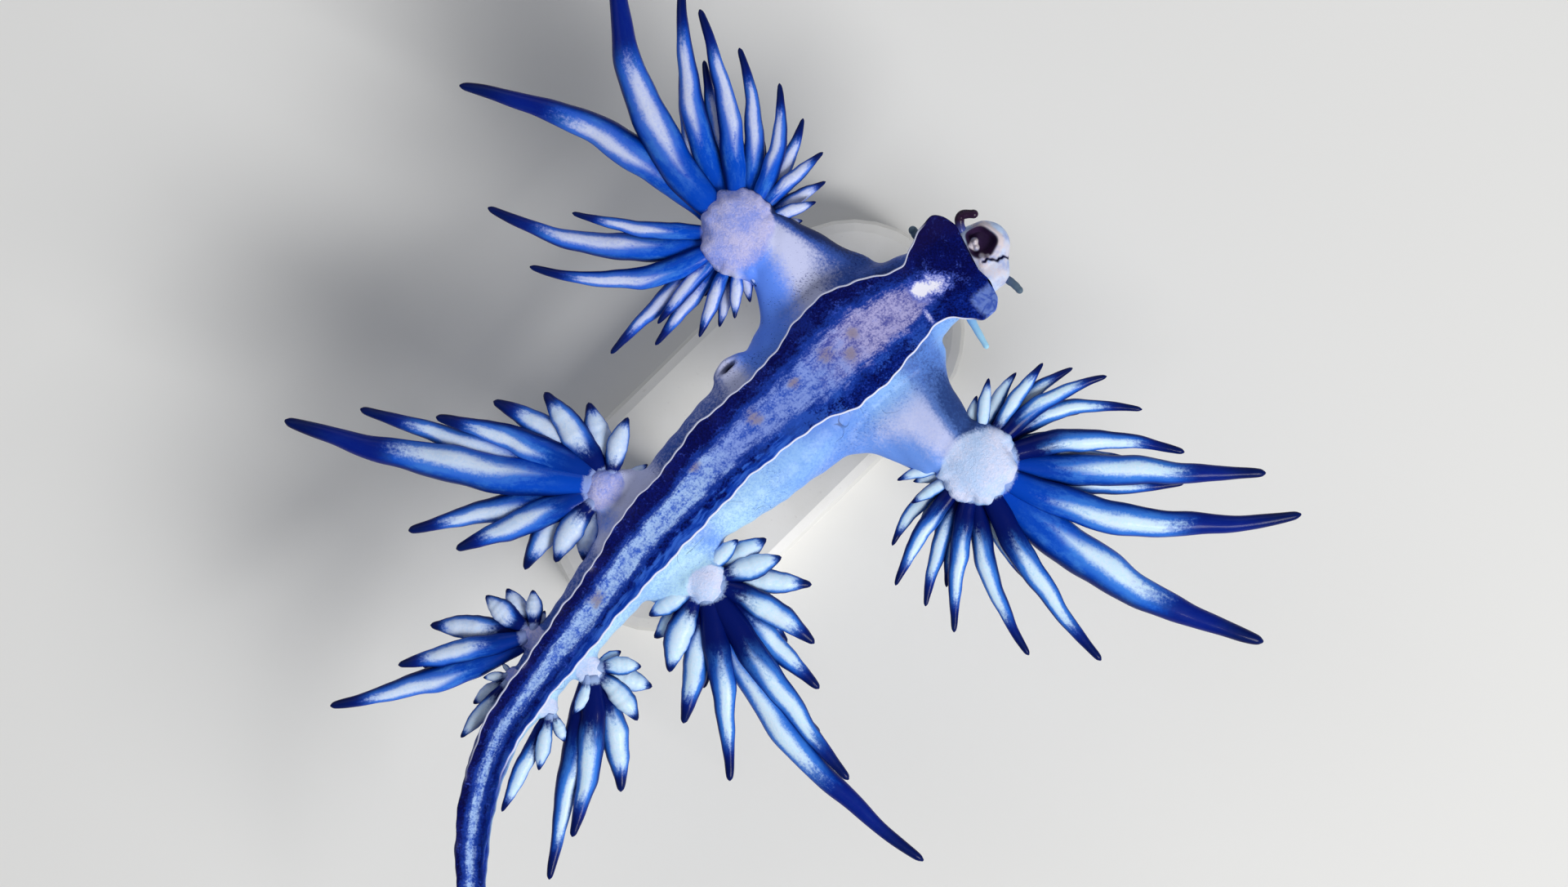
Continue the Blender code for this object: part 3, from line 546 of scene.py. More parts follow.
def finish_piece(obj, material, slot, *nodes):
    """Scales a piece to metres, gives it its material and ties it to the frame."""
    set_points(obj, points_of(obj) * MM)
    obj.data.materials.clear()
    obj.data.materials.append(material)
    obj.data.shade_smooth()
    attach(obj, "root")
    if nodes:
        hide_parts(*nodes)


def apply_modifier(obj, kind, **settings):
    modifier = obj.modifiers.new(kind, kind)
    for key, value in settings.items():
        setattr(modifier, key, value)
    select_only(obj)
    bpy.ops.object.modifier_apply(modifier=modifier.name)


def oval(middle, across, half_right, half_left, half_height, count, squareness):
    """A closed section across the body, with its own half-width on each side."""
    angles = 2 * np.pi * (np.arange(count) + 0.5) / count
    c, s = np.cos(angles), np.sin(angles)
    u = np.sign(c) * np.abs(c) ** squareness * np.where(c > 0, half_right, half_left)
    v = np.sign(s) * np.abs(s) ** squareness * half_height
    return np.array(middle) + np.outer(u, across) + np.outer(v, (0, 0, 1))


def path_frame(ahead):
    """Directions ahead, sideways and up at each point of a path, each of length 1."""
    ahead = unit(ahead)
    side = unit(np.cross(ahead, (0, 0, 1)))
    return ahead, side, np.cross(side, ahead)


def round_sections(side, up, angles):
    """A circle at each point of a path, for radius 1."""
    s, c = (values[None, :, None] for values in (np.sin(angles), np.cos(angles)))
    return side[:, None] * s + up[:, None] * c


class Wire:
    """A shader socket. Arithmetic on it adds Math nodes."""

    def __init__(self, paint, socket):
        self.paint = paint
        self.socket = socket

    def math(self, operation, *values):
        sockets = dict(enumerate(values))
        return self.paint.node("ShaderNodeMath", {"operation": operation}, sockets)

    def __add__(self, other):
        return self.math("ADD", self, other)

    def __sub__(self, other):
        return self.math("SUBTRACT", self, other)

    def __rsub__(self, other):
        return self.math("SUBTRACT", other, self)

    def __mul__(self, other):
        return self.math("MULTIPLY", self, other)

    def __abs__(self):
        return self.math("ABSOLUTE", self)

    __radd__ = __add__
    __rmul__ = __mul__

    def most(self, other):
        return self.math("MAXIMUM", self, other)

    def between(self, low, high):
        """0 up to low, 1 from high, smooth between; high may be the lower one."""
        settings = {"interpolation_type": "SMOOTHSTEP"}
        sockets = {"Value": self, "From Min": low, "From Max": high}
        return self.paint.node("ShaderNodeMapRange", settings, sockets)


class Paint:
    """A material that is being written."""

    def __init__(self, name, **constants):
        self.material = bpy.data.materials.new(name)
        self.material.use_nodes = True
        self.tree = self.material.node_tree
        self.shader = self.tree.nodes["Principled BSDF"]
        for socket, value in constants.items():
            self.shader.inputs[socket.replace("_", " ")].default_value = value
        self.coords = self.node("ShaderNodeTexCoord", {}, {}, "Object")

    def node(self, kind, settings, sockets, out=0):
        made = self.tree.nodes.new(kind)
        for key, value in settings.items():
            setattr(made, key, value)
        for key, value in sockets.items():
            self.join(value, made.inputs[key])
        return Wire(self, made.outputs[out])

    def join(self, value, socket):
        if isinstance(value, Wire):
            self.tree.links.new(value.socket, socket)
        else:
            socket.default_value = value

    def marks(self, names):
        """The marks that the mesh carries under these names."""
        return [
            self.node("ShaderNodeAttribute", {"attribute_name": name}, {}, "Fac")
            for name in names.split()
        ]

    def noise(self, per_mm, detail=2.0, roughness=0.5, distortion=0.0, coords=None):
        sockets = {
            "Vector": coords or self.coords,
            "Scale": per_mm if coords else per_mm / MM,
            "Detail": detail,
            "Roughness": roughness,
            "Distortion": distortion,
        }
        return self.node("ShaderNodeTexNoise", {}, sockets)

    def stretched(self, per_mm, turn=0.0):
        """Places scaled along each axis, turned about the third."""
        scale = tuple(value / MM for value in per_mm)
        sockets = {"Vector": self.coords, "Rotation": (0.0, 0.0, turn), "Scale": scale}
        return self.node("ShaderNodeMapping", {}, sockets)

    def combine(self, x, y, z):
        return self.node("ShaderNodeCombineXYZ", {}, {"X": x, "Y": y, "Z": z})

    def mix(self, share, first, second):
        return self.node("ShaderNodeMix", {"data_type": "RGBA"}, {0: share, 6: first, 7: second}, 2)

    def bump(self, height, deep_mm, strength=1.0):
        sockets = {"Height": height, "Distance": deep_mm * MM, "Strength": strength}
        return self.node("ShaderNodeBump", {}, sockets)

    def finish(self, **links):
        for socket, value in links.items():
            self.join(value, self.shader.inputs[socket.replace("_", " ")])
        return self.material


def rgb(red, green, blue):
    """A colour on the 0 to 255 scale of a screen, as light."""
    def light(value):
        share = value / 255
        return share / 12.92 if share <= 0.04045 else ((share + 0.055) / 1.055) ** 2.4

    return (light(red), light(green), light(blue), 1.0)


WET = {"Specular_IOR_Level": 0.03, "Coat_Roughness": 0.13, "Coat_IOR": 1.33}

# Slate on the right and on the left: the darkest skin colours, used for painted shade on the arms'
# headward edges.
SHADED_SLATE = rgb(36, 50, 98)
LEFT_SHADED_SLATE = rgb(44, 68, 128)
# Dusky blue on the right and on the left; the right one is darker partly as painted shade.
DUSKY_BLUE = rgb(62, 94, 180)
LEFT_DUSKY = rgb(88, 120, 190)
LILAC_SILVER = rgb(200, 206, 243)
SKY_SILVER = rgb(144, 188, 244)
CYAN_SILVER = rgb(184, 224, 248)
PERIWINKLE = rgb(98, 144, 250)
LEFT_PERIWINKLE = rgb(108, 150, 232)
PAD_LILAC = rgb(140, 158, 240)
PAD_PINK = rgb(202, 200, 242)
PAD_CYAN = rgb(186, 212, 252)
PAD_WHITE = rgb(222, 226, 252)
NAVY = rgb(4, 16, 100)
INK = rgb(2, 4, 58)
MID_BLUE = rgb(70, 138, 224)
SILVER_GREY = rgb(138, 152, 180)
MAROON = rgb(46, 30, 62)
BONE = rgb(212, 202, 208)
ICE = rgb(190, 214, 250)


def skin_material():
    """Silvery lilac skin with navy specks and hairline cracks, felted pads and a pale head, with
    painted shade on the arms' headward edges and the right flank, painted highlights along the
    arms' ridges, and painted shade in the mouth's crease and the pore.
    """
    paint = Paint("skin", **WET)
    pad, arm, left, tail, under, shade, cyan = paint.marks("pad arm left tail under shade cyan")
    head, crest, mouth, crease = paint.marks("head crest mouth crease")
    clouds = paint.noise(0.55, 3.0, 0.55)
    grain = paint.noise(9.0, 2.0, 0.7)
    specks = paint.noise(1.0, 2.0, 0.7, 0.4, coords=paint.stretched((9, 19, 14), 0.8))
    crowd = paint.noise(0.5, 1.0).between(0.42, 0.62) * arm.between(1.0, 0.3)
    cracks = abs(paint.noise(0.5, 1.5, 0.5, 0.4) - 0.5)
    crack = cracks.between(0.003, 0.0008) * paint.noise(0.8, 1.0).between(0.5, 0.6)
    crack = crack * left * (1 - arm) * (1 - head)

    # The skin's tone mark carries painted shade on the arms' headward edges and a painted highlight
    # along their ridges; it runs from slate by silver to periwinkle.
    band = shade + (clouds - 0.5) * 0.24 + (grain - 0.5) * 0.22
    shaded_slate, dusky = paint.mix(left, SHADED_SLATE, LEFT_SHADED_SLATE), paint.mix(left, DUSKY_BLUE, LEFT_DUSKY)
    lit = paint.mix(band.between(-0.16, 0.02), shaded_slate, dusky)
    silver = paint.mix(cyan.between(0.0, 0.5), LILAC_SILVER, SKY_SILVER)
    silver = paint.mix(cyan.between(0.5, 1.0), silver, CYAN_SILVER)
    lit = paint.mix(band.between(0.0, 0.2), lit, silver)
    lit = paint.mix(band.between(0.34, 0.64), lit, paint.mix(left, PERIWINKLE, LEFT_PERIWINKLE))
    lit = paint.mix(tail, lit, paint.mix(left * grain.between(0.3, 0.6), NAVY, rgb(10, 56, 160)))
    weave = (grain * 0.7 + clouds * 0.6).between(0.5, 0.85) * left
    lit = paint.mix(weave * (1 - arm * 0.7) * (1 - tail) * 0.5, lit, rgb(92, 144, 232))
    speck = (specks + crowd * 0.11).between(0.64, 0.76) * (1 - pad) * (1 - head)
    navy = paint.mix(left, rgb(20, 40, 128), rgb(40, 76, 170))
    lit = paint.mix(speck * (0.65 - left * 0.25), lit, navy)
    lit = paint.mix(crack * 0.6, lit, INK)

    felt = paint.noise(9.0, 3.0, 0.8, 0.5)
    tint = paint.noise(0.9, 2.0, 0.5)
    pads = paint.mix(left, PAD_LILAC, PAD_CYAN)
    fibres = paint.mix(left, PAD_PINK, PAD_WHITE)
    pads = paint.mix((felt * 0.9 + tint).between(0.7, 1.25), pads, fibres)
    lit = paint.mix((pad + (felt - 0.5) * 0.5).between(0.3, 0.75), lit, pads)
    face = paint.mix((tint + grain * 0.3 + crest * 0.5).between(0.5, 0.95), ICE, BONE)
    dim = (paint.noise(1.7, 2.0, 0.6) + grain * 0.15).between(0.5, 0.78)
    face = paint.mix(dim * 0.55, face, rgb(104, 140, 212))
    lit = paint.mix(head, lit, face)
    lips = paint.mix((tint + grain * 0.2).between(0.5, 0.9), MAROON, rgb(78, 44, 84))
    lit = paint.mix(mouth, lit, lips)
    # Painted shade in the mouth's crease and in the pore.
    lit = paint.mix(crease, lit, INK)
    lit = paint.mix(under * 0.8, lit, SILVER_GREY)
    height = grain * 0.4 + clouds * 0.5 + felt * pad * 2.4 - crack * 0.6
    return paint.finish(
        Base_Color=lit,
        Roughness=0.42 + grain * 0.16 + pad * 0.2,
        Coat_Weight=0.18 - pad * 0.16,
        Normal=paint.bump(height, 0.03, 0.6),
    )


def foot_material():
    """Navy foot with a granular silver-blue stripe, a white patch in front and a fine white rim."""
    paint = Paint("foot", **WET)
    along, aside, edge, inside = paint.marks("along aside edge stripe")
    spots, patch, lobe = paint.marks("tan patch lobe")
    grain = paint.noise(12.0, 2.0, 0.7)
    mist = paint.noise(2.4, 2.0, 0.6, 0.3)
    clouds = paint.noise(0.9, 3.0, 0.6)
    streaks = paint.noise(1.0, 3.0, 0.6, coords=paint.combine(along * 1.1, aside * 6.0, 0.0))
    front = along.between(4.2, 1.6)
    left_side = aside.between(-0.3, -0.9)

    fray = (grain - 0.5) * 2.2 + (streaks - 0.5) * 3.0 + (mist - 0.5) * 1.4
    stripe = (inside + fray).between(-1.0, 1.0)
    light = (grain * 0.7 + mist * 0.7 + streaks * 0.4).between(0.68, 1.1)
    lilac = paint.mix(light, rgb(86, 90, 166), rgb(184, 180, 226))
    blue = paint.mix(light, rgb(44, 82, 186), rgb(138, 162, 232))
    sky = paint.mix(light, rgb(56, 98, 204), rgb(176, 208, 252))
    silver = paint.mix((along + (mist - 0.5) * 3.0).between(5.0, 8.0), lilac, blue)
    silver = paint.mix((along + (mist - 0.5) * 3.0).between(11.5, 14.5), silver, sky)
    tan = (spots + (grain - 0.5) * 0.8 + (mist + streaks - 1.0) * 1.2).between(0.2, 1.1)
    tan = tan * spots.between(0.02, 0.4)
    silver = paint.mix(tan * 0.8, silver, rgb(142, 128, 138))

    deep = paint.mix((grain + clouds * 0.6).between(0.55, 1.05), INK, NAVY)
    weave = left_side * (grain * 0.6 + mist * 0.4).between(0.35, 0.65)
    deep = paint.mix(weave * 0.8, deep, rgb(8, 42, 146))
    beside = (inside + fray * 1.3).between(-3.4, -0.6) * along.between(1.4, 2.6)
    deep = paint.mix(beside * 0.7, deep, rgb(28, 66, 172))
    mottle = (clouds + grain * 0.5).between(0.7, 0.86) * (left_side * 0.9 + 0.1)
    mottle = mottle * along.between(13.0, 8.0) * (1 - front)
    deep = paint.mix(mottle * 0.7, deep, rgb(48, 92, 196))
    flush = (0.5 - edge + (streaks - 0.5) * 0.7 + (mist - 0.5) * 0.9).between(-0.04, 0.2)
    flush = flush * left_side * along.between(8.5, 10.5)
    strands = paint.mix(streaks.between(0.4, 0.65), rgb(8, 58, 170), rgb(56, 108, 218))
    deep = paint.mix(flush * 0.9, deep, strands)
    whole = paint.mix(stripe * 0.97, deep, silver)

    reach = patch + (grain - 0.5) * 0.9 + (mist - 0.5) * 0.9
    whole = paint.mix(reach.between(0.1, 0.5) * 0.85, whole, rgb(60, 84, 186))
    whole = paint.mix(reach.between(0.36, 0.66) * 0.9, whole, rgb(170, 176, 236))
    whole = paint.mix(reach.between(0.6, 0.84), whole, rgb(238, 238, 252))
    lobe = lobe + (clouds - 0.5) * 0.7 + (grain - 0.5) * 0.3
    veins = abs(paint.noise(1.6, 2.0, 0.6, 0.6) - 0.5).between(0.0, 0.09)
    film = paint.mix(veins * 0.6 + grain * 0.4, rgb(50, 84, 190), rgb(128, 156, 230))
    whole = paint.mix(lobe.between(0.15, 0.9) * 0.8, whole, film)
    dusk = front * (aside + (mist - 0.5) * 0.6).between(1.1, 1.9)
    whole = paint.mix(dusk * 0.6, whole, rgb(22, 14, 62))
    rim = edge.between(0.085, 0.05) * along.between(0.9, 1.5) * along.between(28.5, 25.5)
    whole = paint.mix(rim, whole, rgb(222, 226, 250))
    return paint.finish(
        Base_Color=whole,
        Roughness=0.34 + grain * 0.16,
        Coat_Weight=0.16 + clouds * 0.2,
        Normal=paint.bump(grain * 0.5 + clouds * 0.7, 0.02, 0.5),
    )


def ceras_material():
    """Blue leaf with a silver-white stripe on its upper side and an inky tip."""
    paint = Paint("cerata", **WET)
    share, turn, length, tone, seed, clear = paint.marks("share turn length tone seed clear")
    grain = paint.noise(8.5, 3.0, 0.75)
    lengthwise = paint.combine(share * length * 0.8, turn * 4.5, seed * 40)
    streaks = paint.noise(1.0, 3.0, 0.7, coords=lengthwise)
    fray = (grain - 0.5) * 0.55 + (streaks - 0.5) * 0.7

    small = length.between(6.0, 2.5)
    off = abs(turn + (seed - 0.5) * 0.24)
    side = off * 2
    large = length.between(9.5, 12.0)
    start = 0.3 + seed * 0.1 - small * (tone * 0.28 - 0.14) - large * 0.12
    end = 0.77 + seed * 0.04 + small * 0.1 - large * 0.15
    taper = 0.36 + small * 0.34 - large * 0.07 - (1 - tone) * 0.05
    taper = taper - (share - 0.5).most(0.0) * 0.25 - (start + 0.22 - share).most(0.0) * 1.1
    ends = (share + fray * 0.4).between(start - 0.08, start + 0.14)
    ends = ends * (share + fray * 0.3).between(end + 0.05, end - 0.09)
    white = (side + fray * 0.5).between(taper + 0.14, taper - 0.14) * ends
    halo = (side + fray * 0.3).between(taper + 0.45, taper) * ends

    dark = (tone * (1 - large * 0.75) + small * 0.8).between(0.0, 1.0)
    root = paint.mix(dark, rgb(4, 74, 200), rgb(3, 16, 88))
    body = paint.mix(tone, rgb(8, 84, 212), rgb(14, 80, 196))
    blue = paint.mix((share - dark * 0.14).between(0.1, 0.44), root, body)
    sheen = (streaks + grain * 0.3).between(0.55, 0.85) * (share - dark * 0.2).between(0.04, 0.3)
    blue = paint.mix(sheen * 0.6, blue, MID_BLUE)
    blue = paint.mix(side.between(0.5, 0.9) * 0.9, blue, rgb(3, 18, 92))
    pale = paint.mix(tone, rgb(190, 200, 248), rgb(196, 232, 254))
    pale = paint.mix((grain + streaks * 0.5).between(0.5, 0.95) * 0.5, pale, rgb(232, 238, 252))
    edges = paint.mix(tone, rgb(150, 160, 232), rgb(120, 172, 238))
    pale = paint.mix(side.between(0.1, 0.7) * 0.4, pale, edges)
    blue = paint.mix(halo * 0.75, blue, paint.mix(tone, rgb(84, 126, 228), rgb(68, 140, 234)))
    whole = paint.mix(white, blue, pale)
    tip = (share + fray * 0.12).between(end - 0.04, end + 0.08)
    ink = paint.mix(share.between(0.8, 0.95), rgb(6, 24, 120), rgb(3, 7, 68))
    whole = paint.mix(tip * 0.94, whole, ink)
    shaded = (share + fray * 0.2).between(0.34, 0.16) * (1 - tone * 0.3)
    whole = paint.mix(shaded * (0.12 + small * 0.4), whole, rgb(3, 36, 130))
    fleck = (grain * 0.8 + streaks * 0.3).between(0.72, 0.82) * share.between(0.75, 0.3)
    whole = paint.mix(fleck * (1 - tone * 0.4) * 0.7, whole, rgb(10, 40, 134))
    dorsal = side.between(1.15, 1.5) * share.between(0.95, 0.7)
    whole = paint.mix(dorsal * 0.75, whole, rgb(132, 146, 182))
    felt = (clear + (grain - 0.5) * 0.3).between(0.08, -0.08) * side.between(1.2, 0.8)
    whole = paint.mix(felt * 0.7, whole, paint.mix(tone, rgb(150, 160, 232), rgb(176, 204, 250)))
    return paint.finish(
        Base_Color=whole,
        Roughness=0.3 + grain * 0.16,
        Coat_Weight=0.3,
        Normal=paint.bump(grain * 0.5 + streaks * 0.7, 0.03, 0.7),
    )


def feeler_material():
    """Smoky maroon to ink, a little translucent blue at the root."""
    paint = Paint("feelers", **WET)
    share, blue = paint.marks("share tone")
    grain = paint.noise(9.0, 2.0, 0.7)
    dark = paint.mix(share.between(0.15, 0.55), rgb(70, 88, 168), rgb(44, 26, 50))
    pale = paint.mix(share.between(0.0, 0.9), rgb(110, 160, 226), rgb(160, 212, 240))
    whole = paint.mix(blue, dark, pale)
    whole = paint.mix(grain.between(0.6, 0.75) * 0.2, whole, rgb(120, 120, 170))
    return paint.finish(
        Base_Color=whole,
        Roughness=0.32 + grain * 0.15,
        Coat_Weight=0.5,
        Normal=paint.bump(grain, 0.02, 0.7),
    )


def stand_material():
    """Honed white composite with a faint fleck."""
    paint = Paint("stand_composite", IOR=1.5)
    grain = paint.noise(4.0, 4.0, 0.7)
    clouds = paint.noise(0.25, 3.0, 0.5)
    pale = paint.mix(clouds.between(0.35, 0.65), rgb(222, 221, 216), rgb(232, 231, 228))
    pale = paint.mix(grain.between(0.62, 0.72) * 0.35, pale, rgb(190, 188, 182))
    return paint.finish(
        Base_Color=pale, Roughness=0.42 + grain * 0.16, Normal=paint.bump(grain, 0.012, 0.6)
    )


def rod_material():
    """Drawn steel, its fine scratches along the rod."""
    paint = Paint("rod_steel", Metallic=1.0)
    scratches = paint.noise(1.0, 3.0, 0.6, coords=paint.stretched((14, 14, 0.35)))
    steel = paint.mix(scratches.between(0.3, 0.7), rgb(176, 178, 182), rgb(204, 205, 208))
    return paint.finish(
        Base_Color=steel,
        Roughness=0.24 + scratches * 0.12,
        Normal=paint.bump(scratches, 0.002, 0.4),
    )


def make_trunk():
    places = np.linspace(0.95, TAIL_END, TRUNK_RINGS)
    rings = []
    for along in places:
        right, left, depth = (float(table_value(FLANKS, along, c)) for c in (1, 2, 3))
        top = FLANK_TOP * min(1, right)
        middle = body_point(along, 0, (top - depth) / 2)
        across = body_point(along, 1, 0) - body_point(along, 0, 0)
        squareness = 0.66 + 0.2 * float(rise(along, 18, 30))
        half_height = (top + depth) / 2
        rings.append(oval(middle, across, right, left, half_height, TRUNK_SIDES, squareness))
    return mesh_of_rings("trunk", rings)


def make_arm(name):
    (root_level, root_half, end_level, end_half), sections = ARMS[name]
    edges, _ = smooth_curve([(*front, *rear) for front, rear in sections], ARM_STEPS)
    rings = []
    for share, (fx, fy, rx, ry) in zip(np.linspace(0, 1, len(edges)), edges):
        front, rear = np.array((fx, fy, 0)), np.array((rx, ry, 0))
        level = root_level + (end_level - root_level) * share
        half = root_half + (end_half - root_half) * share
        across = (front - rear) / np.linalg.norm(front - rear)
        middle = (front + rear) / 2 + np.array((0, 0, FOOT_LEVEL + level))
        width = np.linalg.norm(front - rear) / 2
        rings.append(oval(middle, across, width, width, half, ARM_SIDES, 0.95))
    return mesh_of_rings(name, rings)


def make_bun(name, middle, half, turn=0.0, flatness=0.7):
    """A flat-topped cushion with a steep rim."""
    rings = []
    c, s = math.cos(turn), math.sin(turn)
    for tilt in np.linspace(-85, 85, BUN_RINGS):
        radius = math.cos(math.radians(tilt)) ** flatness
        up = math.sin(math.radians(tilt))
        height = math.copysign(abs(up) ** 0.85, up)
        angles = 2 * np.pi * np.arange(BUN_SIDES) / BUN_SIDES
        x, y = half[0] * radius * np.cos(angles), half[1] * radius * np.sin(angles)
        z = np.full(BUN_SIDES, half[2] * height)
        rings.append(np.array(middle) + np.stack([x * c - y * s, x * s + y * c, z], 1))
    return mesh_of_rings(name, rings)


def make_skin():
    """Trunk, tail, arms, pads, head and papilla, melted into one surface."""
    pieces = [make_trunk()] + [make_arm(name) for name in ARMS]
    for name, (centre, level, half, *_) in FANS.items():
        wide = (half[0] * PAD_SPREAD, half[1] * PAD_SPREAD, half[2])
        pieces.append(make_bun(name + "_pad", (*centre, FOOT_LEVEL + level), wide, 0.0, 0.82))
    _, angle = heading(0.0)
    for k, (along, aside, level, *half) in enumerate(HEAD_FORMS):
        pieces.append(make_bun(f"head_form_{k}", body_point(along, aside, level), half, angle, 0.9))
    _, angle = heading(PAPILLA[0])
    pieces.append(make_bun("papilla_form", body_point(*PAPILLA), PAPILLA_HALF, angle, 0.9))
    select_only(*pieces)
    bpy.ops.object.join()
    skin = pieces[0]
    skin.name = "skin"
    apply_modifier(skin, "REMESH", mode="VOXEL", voxel_size=SKIN_VOXEL)
    apply_modifier(skin, "SMOOTH", factor=0.5, iterations=SKIN_SMOOTHING)
    refine_head(skin)
    shape_skin(skin)
    return skin


def heading(along):
    place = body_point(along, 0, 0)
    back = body_point(along + 0.1, 0, 0) - place
    return place, math.atan2(back[1], back[0])


def refine_head(skin):
    """Halves the faces of the head, where the finest forms are, and again those round the mouth."""
    bm = bmesh.new()
    bm.from_mesh(skin.data)
    middle = Vector(body_point(*MOUTH, -0.8))
    for reach in HEAD_REACHES:
        near = [
            edge for edge in bm.edges
            if all((v.co - middle).length < reach and v.co.z > HEAD_FLOOR for v in edge.verts)
        ]
        bmesh.ops.subdivide_edges(bm, edges=near, cuts=1, use_grid_fill=True)
    bm.to_mesh(skin.data)
    bm.free()


def spread(obj, values, rounds):
    """Evens values out over a mesh: each round mixes every point with its neighbours."""
    ends = np.empty(len(obj.data.edges) * 2, np.int32)
    obj.data.edges.foreach_get("vertices", ends)
    a, b = ends.reshape(-1, 2).T
    neighbours = np.bincount(np.concatenate([a, b]), minlength=len(values))
    for _ in range(rounds):
        total = np.bincount(a, values[b], len(values)) + np.bincount(b, values[a], len(values))
        values = (values + total / neighbours) / 2
    return values


def shape_skin(skin):
    """Works the fine forms into the skin and marks its regions for the material."""
    points = points_of(skin)
    normals = np.empty(len(points) * 3)
    skin.data.vertex_normals.foreach_get("vector", normals)
    normals = normals.reshape(-1, 3)
    along, aside, level = body_place(points)
    upper = rise(normals[:, 2], -0.35, 0.15)

    pad = np.zeros(len(points))
    push = np.zeros(len(points))
    pad_rim = np.zeros(len(points))
    for name, (centre, fan_level, half, *_) in FANS.items():
        dx, dy = points[:, 0] - centre[0], points[:, 1] - centre[1]
        reach = np.hypot(dx / half[0], dy / half[1])
        bearing = np.degrees(np.arctan2(dy, dx))
        scallop = np.full(len(points), BULGE_GAP)
        for angle in root_angles(name):
            away = np.abs((bearing - angle + 180) % 360 - 180)
            width = math.degrees(BULGE_HALF / half[0])
            bulge = 0.75 + 0.35 * math.sin(angle * 1.7)
            swell = np.cos(np.clip(away / width, 0, 1.6) * math.pi / 2) * bulge
            scallop = np.maximum(scallop, swell)
        bears = scallop > BULGE_GAP + 0.01
        pad_level = FOOT_LEVEL + fan_level
        rim = bell(reach - RIM_PLACE, RIM_HALF) * (points[:, 2] > pad_level - 0.2)
        push += np.where(bears, scallop, 0) * rim * BULGE_HEIGHT * min(1, half[0])
        around = rise(reach, 0.5, 0.95) * rise(reach, 1.35, 1.05) * upper
        near = rise(reach, 1.12, 0.86) * rise(points[:, 2], pad_level - 0.1, pad_level + 0.25)
        toward_body = rise(np.cos(np.radians(bearing - body_bearing(name))), 0.3, 0.9)
        pad_rim = np.maximum(pad_rim, around * (1 - toward_body))
        near *= 1 - toward_body * rise(reach, 0.55, 1.0) * 0.75
        pad = np.maximum(pad, near)

    on_head = (level > -1.6) & (along < 0.4) & (normals[:, 2] > -0.2)
    u, v = (along - MOUTH[0]) / MOUTH_HALF[0], (aside - MOUTH[1]) / MOUTH_HALF[1]
    bearing = np.arctan2(v, u)
    ring = np.hypot(u, v) * (1 + 0.06 * np.sin(3 * bearing + 0.8) + 0.04 * np.sin(5 * bearing))
    bowl = np.where(on_head, rise(ring, 1.0, 0.6), 0)
    lip = np.where(on_head, bell(ring - 1.1, 0.2), 0)
    folds = sum(
        height * bell(np.hypot(along - a, aside - b), size) for a, b, size, height in MOUTH_FOLDS
    ) * on_head
    line = aside - CREASE_SLOPE * along - ripple(along, (0.05, 0.55, 0.3), (0.02, 0.21, 1.0))
    split = bell(line, CREASE_HALF) * on_head * rise(along, -0.1, -0.25)
    drop = bowl * (-MOUTH_DEPTH) + lip * LIP_HEIGHT + folds - split * CREASE_DEPTH
    wave = ripple(along, (0.02, 1.9, 0.4), (0.015, 0.83, 1.7)) * upper

    dx, dy = along - PAPILLA[0] - PORE[0], aside - PAPILLA[1] - PORE[1]
    pore = np.hypot(dx / PORE_HALF[0], dy / PORE_HALF[1])
    on_top = rise(level, -1.5, -1.2)
    pore_lip = bell(pore - 1.45, 0.4) * on_top
    pore = rise(pore, 1.15, 0.6) * on_top
    uneven = np.array([noise.noise(Vector(point) * PAD_NOISE) for point in points])
    push += pad_rim * uneven * PAD_UNEVEN
    points += normals * (push + wave - pore * PORE_DEPTH + pore_lip * PORE_LIP)[:, None]
    points[:, 2] += drop
    set_points(skin, points)

    half = by_side(FLANKS, along, aside > 0)
    arm = rise(np.abs(aside), half + 0.1, half + 1.2) * (1 - pad)
    shade, cyan = tone_and_shading_of(points, along, aside, level)
    set_attributes(
        skin,
        pad=pad,
        arm=arm,
        left=rise(aside, 1.0, -1.0),
        tail=rise(along, 24.0, 28.0) * rise(level, -1.0, -0.5),
        head=rise(along, 0.35, -0.1) * rise(level, -1.9, -1.3),
        crest=np.clip(lip * rise(u, 0.2, -0.4) + rise(folds, 0.02, 0.1), 0, 1),
        mouth=rise(ring, 1.08, 0.88) * on_head * (1 - rise(folds, 0.06, 0.16)),
        # Painted shade in the mouth's crease and in the pore's hollow.
        crease=np.clip(split * 1.3 + pore, 0, 1),
        under=rise(normals[:, 2], -0.1, -0.6),
        shade=spread(skin, shade, SHADE_ROUNDS),
        cyan=spread(skin, cyan, SHADE_ROUNDS),
    )


def body_bearing(name):
    """Direction from a pad's middle to the body, in degrees."""
    centre = np.array(FANS[name][0])
    nearest = ROUTE_POINTS[np.linalg.norm(ROUTE_POINTS - centre, axis=1).argmin()]
    return math.degrees(math.atan2(*(nearest - centre)[::-1]))


